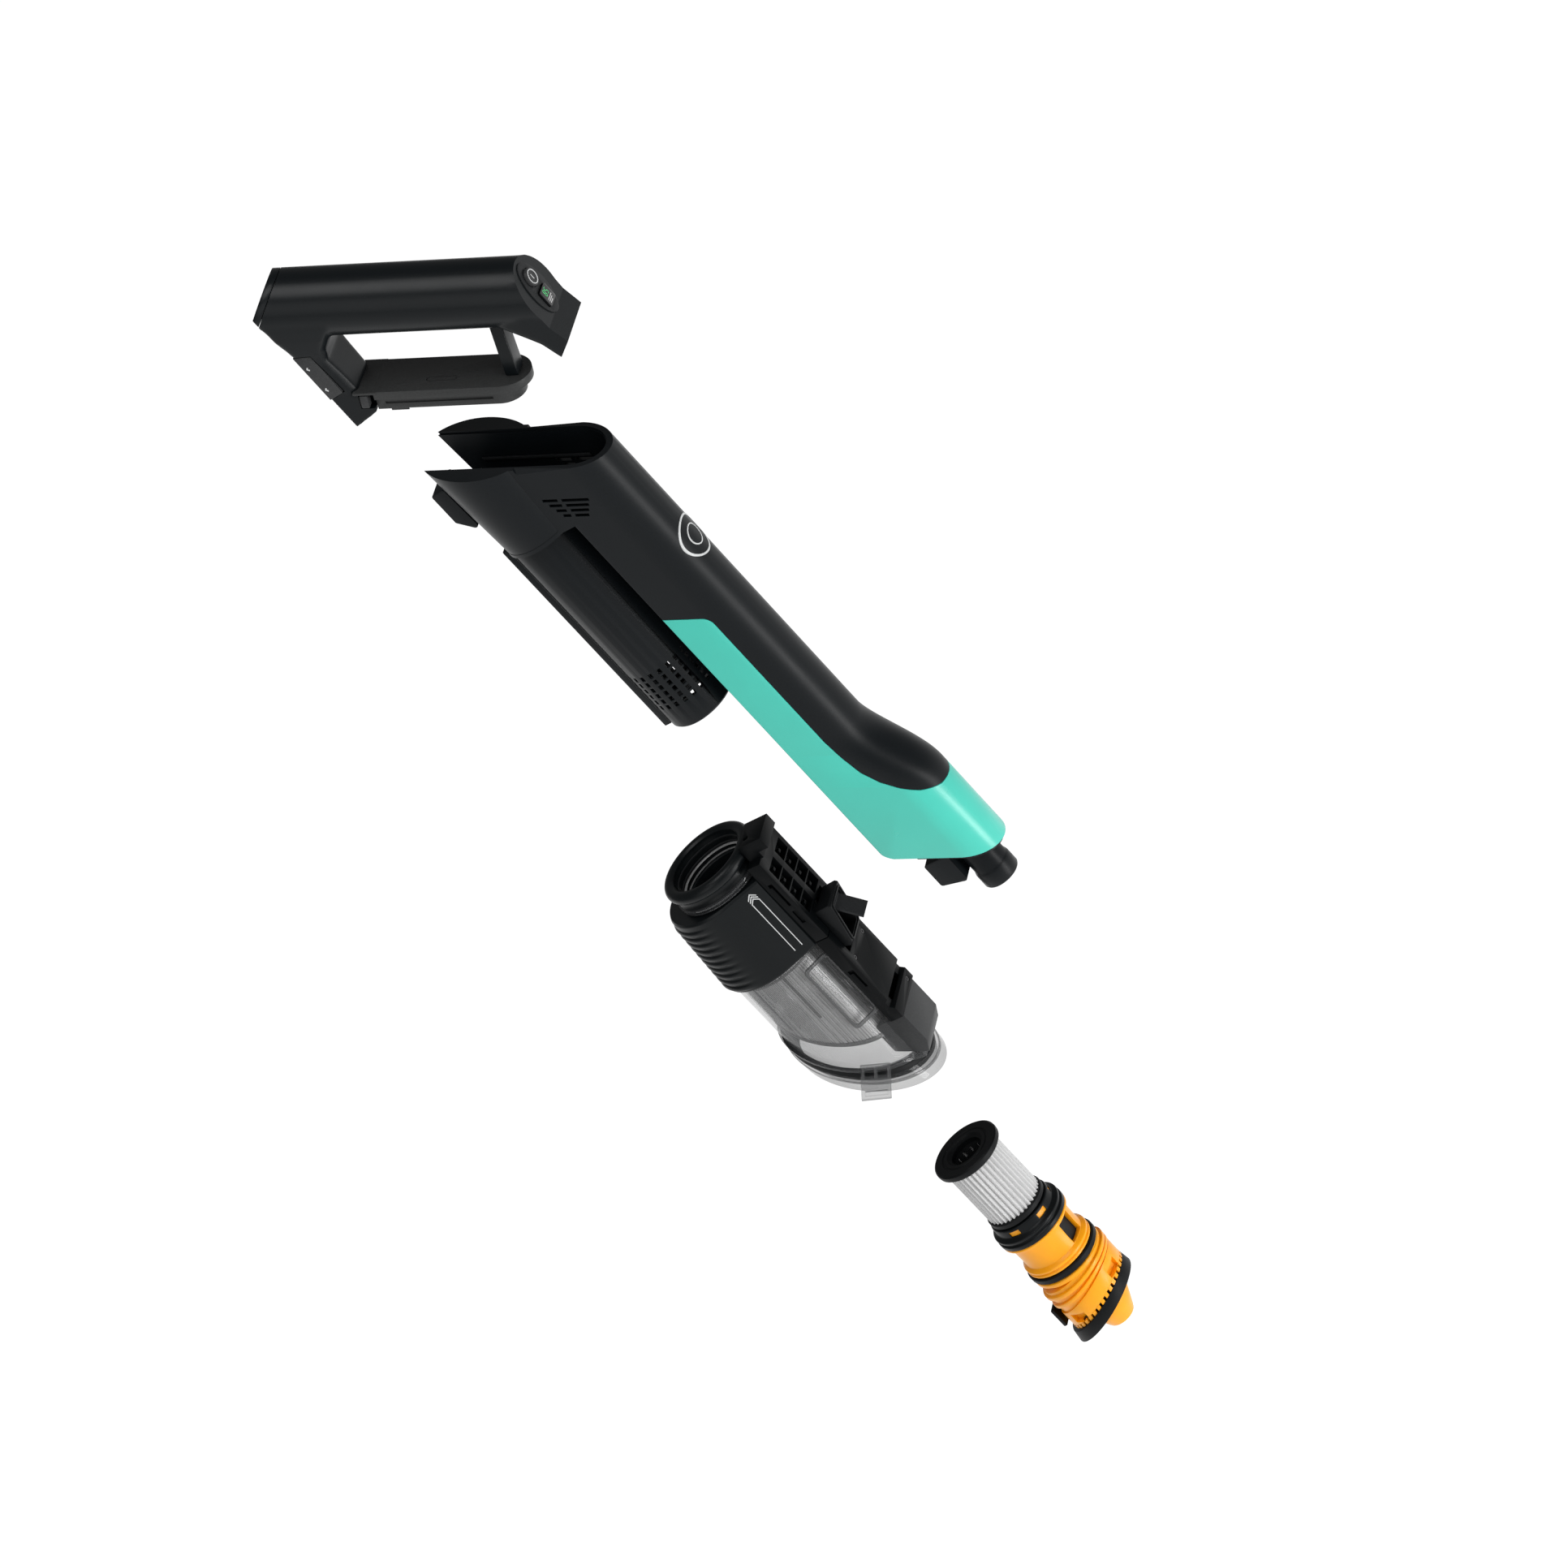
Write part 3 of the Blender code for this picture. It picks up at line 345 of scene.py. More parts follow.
def outline_mesh(name, outlines, half_thickness):
    curve = bpy.data.curves.new(name, "CURVE")
    curve.dimensions = "2D"
    curve.fill_mode = "BOTH"
    curve.extrude = 0.001 * half_thickness
    for outline in outlines:
        spline = curve.splines.new("POLY")
        spline.points.add(len(outline) - 1)
        for point, (u, v) in zip(spline.points, outline):
            point.co = (*mm(u, v), 0.0, 1.0)
        spline.use_cyclic_u = True
    holder = bpy.data.objects.new(name, curve)
    mesh = bpy.data.meshes.new_from_object(holder)
    bpy.data.objects.remove(holder)
    working = bmesh.new()
    working.from_mesh(mesh)
    bmesh.ops.remove_doubles(working, verts=working.verts, dist=0.000001)
    bmesh.ops.recalc_face_normals(working, faces=working.faces)
    working.to_mesh(mesh)
    working.free()
    return mesh


def extruded(name, outlines, half, home, centre, turn=(0.0, 0.0, 0.0)):
    outlines = outlines if isinstance(outlines[0], list) else [outlines]
    obj = bpy.data.objects.new(name, outline_mesh(name, outlines, half))
    obj.rotation_euler = turn
    obj.location = mm(*centre)
    return place(obj, home)


def slab(name, outlines, home, half=REACH, across=0.0):
    """Side outlines of (forward, up), extruded across the tool: right through it, or half to each side."""
    return extruded(name, outlines, half, home, (0, across, 0), (math.pi / 2, 0.0, 0.0))


def facing(name, outlines, half, home, forward=0.0):
    """Front outlines of (across, up), extruded along the frame's X."""
    return extruded(name, outlines, half, home, (forward, 0, 0), (math.pi / 2, 0.0, math.pi / 2))


def column(name, outlines, foot, top, home):
    """Plan outlines of (forward, across), extruded upwards."""
    return extruded(name, outlines, (top - foot) / 2, home, (0, 0, (top + foot) / 2))


def cut(obj, *cutters, operation="DIFFERENCE"):
    for cutter in cutters:
        boolean = obj.modifiers.new(cutter.name, "BOOLEAN")
        boolean.operation = operation
        boolean.object = cutter
    return obj


def join(obj, *others):
    return cut(obj, *others, operation="UNION")


def keep(obj, *others):
    return cut(obj, *others, operation="INTERSECT")


def arc(centre, radius, start, end, count):
    angles = (math.radians(start + (end - start) * i / count) for i in range(count + 1))
    return [(centre[0] + radius * math.cos(a), centre[1] + radius * math.sin(a)) for a in angles]


def rounded(corners, radius, count=5):
    points = []
    for i, corner in enumerate(corners):
        here = Vector(corner)
        before = (Vector(corners[i - 1]) - here).normalized()
        after = (Vector(corners[(i + 1) % len(corners)]) - here).normalized()
        half = before.angle(after) / 2
        centre = here + (before + after).normalized() * (radius / math.sin(half))
        start = here + before * (radius / math.tan(half)) - centre
        end = here + after * (radius / math.tan(half)) - centre
        turn = start.angle_signed(end)
        for step in range(count + 1):
            spoke = Matrix.Rotation(-turn * step / count, 2) @ start
            points.append(tuple(centre + spoke))
    return points


def rectangle(low, high):
    return [(low[0], low[1]), (high[0], low[1]), (high[0], high[1]), (low[0], high[1])]


def rounded_box(low, high, radius):
    return rounded(rectangle(low, high), radius)


def tongue(back, centre, half, count):
    """A plan with a square back and a round front."""
    return [(back, -half), *arc((centre, 0), half, -90, 90, count), (back, half)]


def loft(name, sections, home):
    """A closed skin over sections that have the same number of points."""
    def build(working):
        rings = [[working.verts.new(mm(*point)) for point in section] for section in sections]
        for lower, upper in zip(rings, rings[1:]):
            for i in range(len(lower)):
                j = (i + 1) % len(lower)
                working.faces.new((lower[i], lower[j], upper[j], upper[i]))
        working.faces.new(list(reversed(rings[0])))
        working.faces.new(rings[-1])

    return place(mesh_object(name, build), home)


def smooth_step(share):
    """Goes from 0 to 1 and is level at both ends."""
    share = min(max(share, 0.0), 1.0)
    return share * share * (3 - 2 * share)


def slanted(height, forward):
    """The height of a cut that falls away towards the front as the head's top does."""
    return height - CUT_SLOPE * forward


def piece(obj, material, body=None, bevel=0.0, angle=32):
    """Registers a finished shape with its material. It rides on its frame's body unless it names one."""
    if bevel:
        edges = obj.modifiers.new("edges", "BEVEL")
        edges.width = 0.001 * bevel
        edges.segments = 2
        edges.limit_method = "ANGLE"
        edges.angle_limit = math.radians(angle)
    PIECES.append((obj, material, body or obj.parent["body"]))


def bake():
    """Turns each registered shape into a plain mesh, and clears the working shapes.

    A shape that carries the name of a node of the model is shown in that node's place.
    """
    bpy.context.view_layer.update()
    graph = bpy.context.evaluated_depsgraph_get()
    made = []
    for obj, material, body in PIECES:
        evaluated = obj.evaluated_get(graph)
        mesh = bpy.data.meshes.new_from_object(evaluated)
        mesh.transform(evaluated.matrix_world)
        mesh.materials.clear()
        mesh.materials.append(MATERIALS[material])
        mesh.shade_smooth()
        mesh.set_sharp_from_angle(angle=math.radians(35))
        made.append((obj.name, mesh, SLOTS.get(material), body))
    for obj in list(WORK.objects):
        bpy.data.objects.remove(obj, do_unlink=True)
    for name, mesh, slot, body in made:
        obj = shown("v_" + name, mesh)
        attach(obj, body)
        node = name.split(".")[0]
        if node in frame["nodes"]:
            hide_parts(node)


# ---------------------------------------------------------------- slim tube, head and cover
def leaning(name, plan, low, high):
    """A plan of (forward, across), raised between two levels that lean as the head's top does."""
    return loft(name, [[(f, x, slanted(level, f)) for f, x in plan] for level in (low, high)], ROOT)


def front_reach(level):
    """The tube's front line, which swells forward towards the nose."""
    return TUBE_FRONT + (NOZZLE_FRONT - TUBE_FRONT) * smooth_step((SWELL_TOP - level) / SWELL_DEPTH)


def tube_sections(levels, inset, back, edge=3.0):
    """Plans with a round front and softly rounded back edges."""
    half = TUBE_HALF - inset
    sections = []
    for level in levels:
        centre = front_reach(level) - TUBE_HALF
        plan = [*arc((back + edge, edge - half), edge, 180, 270, 6), *arc((centre, 0), half, -90, 90, 40),
            *arc((back + edge, half - edge), edge, 90, 180, 6)]
        sections.append([(f, x, slanted(level, f)) for f, x in plan])
    return sections


SWELL = [SWELL_TOP - SWELL_DEPTH * i / 24 for i in range(24, -1, -1)]


def tube_shell(name):
    outer = loft(name, tube_sections([BOTTOM_CUT, *SWELL, TOP_CUT + 12], 0.0, TUBE_BACK, 1.2), ROOT)
    inner = loft(name + "_hollow", tube_sections([BOTTOM_CUT - 20, *SWELL, 150.0], WALL, TUBE_BACK - 6,
        1.2), ROOT)
    return outer, inner


def cover_outline(gap):
    spline = [(54.0, -46.0), (55.4, -60.0), (58.0, -74.0), (63.0, -84.5), (70.0, -93.5), (78.0, -102.0),
        (86.0, -108.5), (96.0, -112.5)]
    points = [(20.0, slanted(COVER_CUT, 20)), *arc((46.5, 50.0), 7.4, 66, 0, 8)]
    points += spline + [(96.0, -190.0), (20.0, -190.0)]
    return [(f + gap, z + gap) if f < 90 else (f, z + gap) for f, z in points]


def body_shell():
    outer, hollow = tube_shell("body_shell")
    head = rod("head_barrel", (4, 0, 141), (4, 0, 225), 25.6, ROOT, end_radius=29.2)
    lip = rod("head_lip", (4, 0, 141), (4, 0, 143.4), 25.9, ROOT, end_radius=25.9)
    top = slab("top_trim", [(-60, slanted(TOP_CUT, -60)), (110, slanted(TOP_CUT, 110)), (110, 300),
        (-60, 300)], ROOT)
    pocket = leaning("pocket", tongue(-50, 51, SLOT_HALF, 32), POCKET_FLOOR, 260)
    rebate = leaning("rebate", tongue(-50, 51, SLOT_HALF + 1.0, 32), TOP_CUT - 1.6, 260)
    bore = rod("housing_bore", (0, 0, 136), (0, 0, 164), MOTOR_R + 0.3, ROOT)
    cover = slab("cover_space", cover_outline(0.0), ROOT)
    bridge = block("head_bridge", (14, -TUBE_HALF, 141.4), (34, TUBE_HALF, 215), ROOT)
    join(outer, head, lip, bridge)
    cut(outer, top, pocket, rebate, bore, hollow, cover)
    for side in (-1, 1):
        edge = []
        out = side * 20.6
        for f, width, drop in ((25.5, 3.4, 4.0), (58, 0.7, 0.3)):
            level = slanted(TOP_CUT, f)
            edge.append([(f, out, level + 0.6), (f, out - side * width, level + 0.6),
                (f, out, level - drop)])
        cut(outer, loft(f"lip_chamfer_{side}", edge, ROOT))
    vents = []
    for row in range(4):
        for low, high in ((26.5 + 1.2 * row, 34.0), (36.0, 49.5 - 2.2 * row)):
            height = 178.4 - 3.9 * row
            vents.append([(low, slanted(height, low)), (high, slanted(height, high)),
                (high - 0.6, slanted(height - 1.8, high)), (low - 0.6, slanted(height - 1.8, low))])
    for i, vent in enumerate(vents):
        cut(outer, slab(f"vent_{i}", vent, ROOT))
    piece(outer, "satin_black", bevel=0.5, angle=40)
    for side in (-1, 1):
        rail = [(-8, 184.5), (46, slanted(184.5, 54)), (46, slanted(186.3, 54)), (-8, 186.3)]
        guide = slab(f"guide_rail_{side}", rail, ROOT, 0.6, across=side * (SLOT_HALF - 0.9))
        piece(guide, "dark_grey", bevel=0.2)


def side_cover():
    outer, hollow = tube_shell("side_cover")
    cut(outer, hollow)
    back, foot = TUBE_BACK - 0.2, BOTTOM_CUT - 0.2
    corner = rounded([(back, 300), (back, slanted(foot, back)), (110, slanted(foot, 110)), (110, 300)],
        13.0, 10)
    keep(outer, slab("cover_keep", cover_outline(-0.3), ROOT), slab("corner_keep", corner, ROOT))
    piece(outer, "teal", bevel=0.5, angle=40)


def badge():
    """Two plain rings, one inside the other, laid on the round front."""
    core = loft("badge_core", tube_sections([10, 170], 0.3, TUBE_BACK - 6), ROOT)
    for name, radius, hole_radius, proud, bevel in (("badge_ring", 12.6, 11.5, 0.35, 0.08),
            ("badge_inner", 6.4, 5.7, 0.3, 0.06)):
        skin = loft(name, tube_sections([20, 160], -proud, TUBE_BACK), ROOT)
        edge = rod(name + "_edge", (40, 0, BADGE_UP), (100, 0, BADGE_UP), radius, ROOT)
        hole = rod(name + "_hole", (30, 0, BADGE_UP), (110, 0, BADGE_UP), hole_radius, ROOT)
        cut(skin, core)
        keep(skin, edge)
        cut(skin, hole)
        piece(skin, "mark", bevel=bevel)


def bin_channel():
    back, face, catch = TUBE_BACK + 0.2, FACE + 1.8, FACE + 9.4
    rear = [(back, 130), (back, 12), (catch, 12), (catch, -15), (face, -18), (face, -132)]
    front = [(face + 2, -132), (face + 2, -17), (catch + 2, -14), (catch + 2, 14), (back + 2.2, 14),
        (back + 2.2, 130)]
    channel = slab("bin_channel", rear + front, ROOT, LINER_HALF)
    cut(channel, block("port", (face - 5, -14, -108), (face + 8, 14, -55), ROOT))
    ribs = [((face - 1.2, x, -50), (face + 0.5, x + 1.2, -22)) for x in (-15.5, 14.3)]
    join(channel, blocks("channel_ribs", ribs, ROOT))
    piece(channel, "satin_black", bevel=0.3)


def nozzle():
    centre = NOZZLE_FRONT - TUBE_HALF
    plate = leaning("end_plate", tongue(TUBE_BACK + 14.5, centre, LINER_HALF, 40), BOTTOM_CUT - 3.5,
        BOTTOM_CUT)
    cut(plate, rod("pipe_way", (centre, 0, -185), (centre, 0, -120), 10.9, ROOT))
    piece(plate, "satin_black", bevel=0.3)
    piece(turned("nozzle_pipe", [(10.6, -136), (10.6, -172.5), (11.0, -173.5), (11.4, -175), (11.4, -183),
        (10.8, -184), (9.6, -184), (9.2, -183), (9.2, -136)], ROOT, axis=centre), "satin_black", bevel=0.2)
    lock = slab("wand_lock", rounded([(40.8, -150.5), (40.8, -167.2), (57, -171), (57, -150.5)], 1.6), ROOT,
        12.6)
    cut(lock, block("lock_slot", (38, -7, -164), (43, 7, -154), ROOT))
    piece(lock, "satin_black", bevel=0.8)


def motor_housing():
    inner = MOTOR_R - 1.7
    housing = turned("motor_housing", [(MOTOR_R, MOTOR_TOP), (MOTOR_R, 1.2), (MOTOR_R - 1, 0), (inner, 0),
        (inner, MOTOR_TOP)], ROOT)
    holes = []
    for row in range(6):
        for column_index in range(22):
            z = 15.2 + 4.5 * row
            holes.append(((inner - 2, -1.25, z), (MOTOR_R + 2, 1.25, z + 3.0),
                2 * math.pi * (column_index + 0.5) / 22))
    cut(housing, blocks("air_holes", holes, ROOT))
    piece(housing, "satin_black", bevel=0.15)
    plan = [(-24.2, -9.5), *arc((0, 0), MOTOR_R + 0.2, 206.5, 153.5, 12), (-24.2, 9.5)]
    piece(column("wire_strip", plan, 0.6, 142, ROOT), "satin_black", bevel=0.9)
    piece(block("strip_rib", (-24.9, -4.5, 1.5), (-23.8, 4.5, 141), ROOT), "dark_grey", bevel=0.3)
    for side in (-1, 1):
        turn = math.radians(180 + side * 32)
        bead = blocks(f"housing_bead_{side}", [((MOTOR_R - 0.4, -0.5, 3), (MOTOR_R + 0.8, 0.5, 139), turn)],
            ROOT)
        piece(bead, "dark_grey", bevel=0.3)


def head_pieces():
    hook = slab("hook_block",
        rounded([(-HOOK_BACK, 192.0), (-24.3, 192.0), (-23.0, 160), (-HOOK_BACK, 171)], 1.6), ROOT, 9.5)
    cut(hook, block("hook_slot", (-28.5, -7.2, 176), (-20, 7.2, 189), ROOT))
    piece(hook, "satin_black", bevel=0.5)
    floor = slanted(POCKET_FLOOR, -8) + 0.3
    terminal = slab("terminal_block", [(-14, floor + 3.4), (-3, floor - 2.2), (-3, floor + 5),
        (-14, floor + 9)], ROOT, 8)
    piece(terminal, "dark_grey", bevel=0.4)
    blades = blocks("terminal_blades", [((-10.4, x - 0.4, floor + 5.5), (-6.4, x + 0.4, floor + 8.8))
        for x in BLADES], ROOT)
    piece(blades, "steel", bevel=0.1)


# ---------------------------------------------------------------- battery handle
BUTTON = [(-68.6, 26.0), (-58.4, 26.6), (-46.6, 1.8), (-54.4, -2.6)]
BUTTON_SPACE = [(-70.5, 26.9), (-57.9, 27.5), (-45.7, 1.6), (-54.9, -4.2)]


def handle_shell():
    """Round grip, a leg that narrows towards its foot, and a tapered nose, blended together."""
    axis = GRIP_AXIS
    grip = rod("handle_shell", (-96, 0, axis), (84, 0, axis), GRIP_R + 0.1, HANDLE)
    sections = []
    for level, rear, front, half in ((54, -86, -40, 18.4), (44, -81, -42, 18.3), (37, -77.5, -46, 18.0),
            (30, -72.3, -49.6, 17.4), (22, -68.1, -50.4, 16.4), (12, -63.0, -45.2, 15.2),
            (0.6, -57.1, -39.5, 14.5)):
        edge = 3.4
        sections.append([(rear, edge - half, level), (rear + edge, -half, level),
            (front - edge, -half, level), (front, edge - half, level), (front, half - edge, level),
            (front - edge, half, level), (rear + edge, half, level), (rear, half - edge, level)])
    leg = loft("handle_leg", sections, HANDLE)
    foot = slab("handle_foot", [(-58.2, 2.6), (-45, -23), (-31.5, -13.4), (-31.5, -1.6), (-42.5, -1.6),
        (-45.5, 2.6)], HANDLE, 14.4)
    sections = []
    for forward, half, low in ((28, 9, 44), (44, 13.5, 37.5), (54, 16.5, 34.5), (62, 17.9, 31.2),
            (70, 17.9, 26.4), (78, 17.3, 17.6), (92, 16.6, 6)):
        sections.append([(forward, 6 - half, 66), (forward, -half, 52), (forward, -half, low + 3),
            (forward, 3 - half, low), (forward, half - 3, low), (forward, half, low + 3),
            (forward, half, 52), (forward, half - 6, 66)])
    nose = loft("handle_nose", sections, HANDLE)
    join(grip, leg, foot, nose)
    knee = slab("knee_trim", [(-87.4, 59.4), (-82.0, 48.9), (-55.3, -3), (-120, -3), (-120, 59.4)], HANDLE)
    tip = slab("tip_trim", [(75.4, 13.0), (84.8, 29.3), (88, 34.9), (120, 34.9), (120, -5), (75.4, -5)],
        HANDLE)
    cut(grip, knee)
    voxels = grip.modifiers.new("voxels", "REMESH")
    voxels.mode = "VOXEL"
    voxels.voxel_size = 0.0009
    soften = grip.modifiers.new("soften", "SMOOTH")
    soften.factor = 0.5
    soften.iterations = 10
    cells = rod("cell_bore", (-66, 0, axis), (46, 0, axis), 11.6, HANDLE)
    cut(grip, slab("rear_trim", [(-61.6, 84), (-84.0, 43.2), (-120, 43.2), (-120, 84)], HANDLE),
        slab("panel_trim", [(56.0, 79.5), (76.9, 39.0), (84.8, 29.3), (88.2, 25.1), (120, 25.1),
        (120, 79.5)], HANDLE), tip, cells, slab("button_space", BUTTON_SPACE, HANDLE, 4.6, across=-15.4),
        block("nub_space", (-39.4, -17, -10.6), (-31.2, -8.6, -1.4), HANDLE))
    piece(grip, "handle_black")


def handle_fittings():
    axis = GRIP_AXIS
    cap = rod("rear_cap", (-96, 0, axis), (-50, 0, axis), GRIP_R, HANDLE)
    keep(cap, slab("cap_keep", [(-61.9, 84), (-82.2, 47.0), (-84.6, 51.0), (-66.6, 84)], HANDLE))
    cut(cap, slab("cap_knee", [(-86.6, 59.4), (-81.0, 48.9), (-54.3, -3), (-120, -3), (-120, 59.4)],
        HANDLE))
    piece(cap, "handle_black", bevel=1.2, angle=50)
    plan = [(-30.8, -PLATE_HALF), *[(39 + 15.3 * math.cos(a), PLATE_HALF * math.sin(a))
        for a in (math.radians(-90 + 5 * i) for i in range(37))], (-30.8, PLATE_HALF)]
    plate = column("base_plate", plan, -5.0, 0.0, HANDLE)
    rail = column("base_rail", tongue(-30.8, 37, 12.2, 24), -12.8, -4.5, HANDLE)
    cut(rail, *[block(f"rail_groove_{s}", (-26, s * 12.2 - 0.9, -9.4), (34, s * 12.2 + 0.9, -7.6), HANDLE)
        for s in (-1, 1)])
    join(plate, rail, block("plate_heel", (-42.0, -14.9, -1.4), (-29.0, 14.9, -0.03), HANDLE))
    cut(plate, column("plate_mark", rounded_box((-3, -6.5), (14, -2.5), 1.6), -0.5, 1, HANDLE))
    piece(plate, "plate_grey", bevel=0.5)
    tab = column("plate_tab", rounded_box((-2.4, -6.0), (13.4, -3.0), 1.3), -0.7, -0.12, HANDLE)
    piece(tab, "plate_grey", bevel=0.1)
    strut = slab("front_strut", [(41.4, 0.1), (48.8, 0.1), (46.6, 34.4), (39.6, 34.4)], HANDLE, 5.8)
    piece(strut, "handle_black", bevel=1.2)
    contact = block("contact_block", (-26, -7, -18), (-16, 7, -13.1), HANDLE)
    cut(contact, blocks("contact_slots", [((-27, x - 0.9, -19), (-15, x + 0.9, -13.9)) for x in BLADES],
        HANDLE))
    piece(contact, "light_grey", bevel=0.3)
    button = slab("release_button", BUTTON, HANDLE, 2.2, across=-14.1)
    piece(button, "light_grey", "release_button", bevel=0.45)
    for i, (f, z) in enumerate(((-61.6, 18.6), (-54.6, 4.6))):
        tick = [(f - 1.1, z - 0.5), (f + 0.6, z - 1.3), (f + 0.9, z - 0.4), (f - 0.2, z + 0.1),
            (f + 0.1, z + 0.9), (f - 0.6, z + 1.1)]
        piece(slab(f"button_mark_{i}", tick, HANDLE, 0.12, across=-16.2), "mark", "release_button")
    piece(block("latch_nub", (-38.9, -15.3, -10.0), (-34.2, -9.8, -2.0), HANDLE), "light_grey", "latch_nub",
        bevel=0.9)


SEGMENTS = {"top": ((0, 2.0), True), "middle": ((0, 0), True), "foot": ((0, -2.0), True),
    "high_left": ((-1, 1), False), "high_right": ((1, 1), False), "low_left": ((-1, -1), False),
    "low_right": ((1, -1), False)}


def digit(lit, forward, across):
    """Bars of one seven-bar figure; the figure's top points back up the nose."""
    items = []
    for name, ((x, y), flat) in SEGMENTS.items():
        if name not in lit:
            continue
        cx, cy = forward - y * 0.95, across + x * 0.75
        half = (0.16, 0.55) if flat else (0.7, 0.16)
        items.append(((cx - half[0], cy - half[1], 1.88), (cx + half[0], cy + half[1], 2.0)))
    return items


def control_panel():
    oval = [(16.8 * math.cos(a), 9.9 * math.sin(a)) for a in (math.radians(4 * i) for i in range(90))]
    bezel = column("control_panel", oval, -0.6, 0.6, PANEL)
    cut(bezel, rod("power_space", (POWER_AT, 0, -3), (POWER_AT, 0, 4), 5.6, PANEL),
        column("display_space", rounded_box((1.0, -5.2), (11.6, 5.2), 1.2), -1, 4, PANEL))
    piece(bezel, "dark_grey", bevel=0.3)
    piece(turned("power_button", [(0, 2.2), (3.6, 2.2), (4.3, 2.5), (5.0, 2.2), (5.2, 1.8), (5.2, 0.6),
        (0, 0.6)], PANEL, axis=POWER_AT, solid=True), "light_grey", "power_button")
    piece(tube("power_ring", 4.2, 3.7, 2.6, 2.15, PANEL, axis=POWER_AT), "mark", "power_button")
    piece(block("power_bar", (-8.6, -0.25, 2.1), (-5.4, 0.25, 2.35), PANEL), "mark", "power_button")
    window = column("display_window", rounded_box((1.3, -4.9), (11.3, 4.9), 1.0), 0.4, 1.9, PANEL)
    piece(window, "glass_black", bevel=0.15)
    figures = digit({"top", "middle", "foot", "high_left", "high_right", "low_left", "low_right"}, 4.4,
        -1.3)
    figures += digit({"top", "middle", "foot", "high_left", "low_right"}, 4.4, 1.3)
    piece(blocks("display_figures", figures, PANEL), "display_green")
    bars = [((7.6 + 1.1 * i, -3.0, 1.88), (8.1 + 1.1 * i, 3.0 - 1.2 * i, 2.0)) for i in range(3)]
    piece(blocks("display_bars", bars, PANEL), "display_white")


# ---------------------------------------------------------------- dust bin
def bin_plan(radius, half, face, count=60, ripple=0.0):
    """A round body with flat cheeks; ripple pushes the rear half of the wall out."""
    reach = face - BODY_AXIS
    bend = math.degrees(math.asin(radius / math.hypot(reach, half))) - math.degrees(math.atan2(half, reach))
    start = 90 - bend
    wall = []
    for i in range(count + 1):
        degrees = start + (360 - 2 * start) * i / count
        r = radius + ripple * (1 - smooth_step((abs(degrees - 180) - 62) / 34))
        a = math.radians(degrees)
        wall.append((BODY_AXIS + r * math.cos(a), r * math.sin(a)))
    return [(face, half), *wall, (face, -half)]


def bin_top():
    lip = arc((26.0, -4.0), 4.0, 120, -84, 17)
    ring = turned("bin_ring", [*lip, (26.6, -8.2), (26.4, -9.6), (26.8, -11.2), (27.8, -12.4),
        (23.0, -12.4), (23.0, -9.4), (22.4, -8.8), (22.6, -4.4), (23.0, -3.6), (23.0, -1.6)], BIN)
    piece(ring, "bin_black")
    for i, z in enumerate((-5.2, -9.4)):
        band = turned(f"ring_inner_{i}", [(23.0, z), (22.2, z - 0.4), (22.2, z - 1.2), (23.0, z - 1.6)],
            BIN)
        piece(band, "dark_grey")
    piece(turned("ring_seal", [(22.6, -11.2), (22.6, -12.0), (21.4, -12.0), (21.0, -11.6), (21.4, -11.2)],
        BIN), "silicone")
    piece(tube("seal_ring_low", 22.4, 21.2, -14.4, -15.0, BIN), "silicone")
    piece(turned("bore_tube", [(22.4, -12.8), (22.4, -23.0), (20.2, -23.0), (20.2, -16.0), (22.0, -15.4),
        (22.0, -12.8)], BIN), "bin_black", bevel=0.3)
    flange = turned("clear_flange", [(27.6, -12.7), (28.8, -13.2), (28.8, -14.0), (27.4, -14.4),
        (27.4, -15.2), (28.6, -15.6), (28.6, -16.2), (27.6, -16.6), (24.2, -16.6), (24.2, -12.7)], BIN)
    piece(flange, "clear_rib")
    piece(tube("flange_core", 26.9, 23.6, -12.5, -18.5, BIN), "bin_black")


def sleeve_radius(height):
    share = (height + 18) / (SLEEVE_FOOT + 18)
    return SLEEVE_TOP_R + (SLEEVE_FOOT_R - SLEEVE_TOP_R) * min(max(share, 0), 1)


def grip_sleeve():
    """Ribs stand out of the rear half like stacked scales; the front cheeks are plain."""
    pitch, count = 4.9, 10
    plans = []
    height = SLEEVE_FOOT
    while height < -17.6:
        phase = (height - SLEEVE_FOOT - 1.5) / pitch
        ripple = 0.0
        if 0 <= phase < count:
            share = phase % 1.0
            ripple = 1.15 * math.sin(math.pi * min(share * 1.25, 1.0)) ** 0.7
        radius = sleeve_radius(height)
        if height > -19.0:
            radius -= 0.6 * (height + 19.0)
        if height < SLEEVE_FOOT + 0.8:
            radius -= 0.6 * (SLEEVE_FOOT + 0.8 - height)
        plans.append([(f, x, height) for f, x in bin_plan(radius - 0.5, SLEEVE_HALF, SLEEVE_FACE, 72,
            ripple)])
        height += 0.49
    sleeve = loft("grip_sleeve", plans, BIN)
    cut(sleeve, rod("sleeve_hollow", (BODY_AXIS, 0, -90), (BODY_AXIS, 0, -20.2), SHELL_R - 1.6, BIN),
        rod("sleeve_mouth", (-2, 0, -30), (-2, 0, -10), 23.4, BIN),
        block("sleeve_trim", (28.4, -40, -90), (60, 40, 5), BIN))
    piece(sleeve, "bin_black")


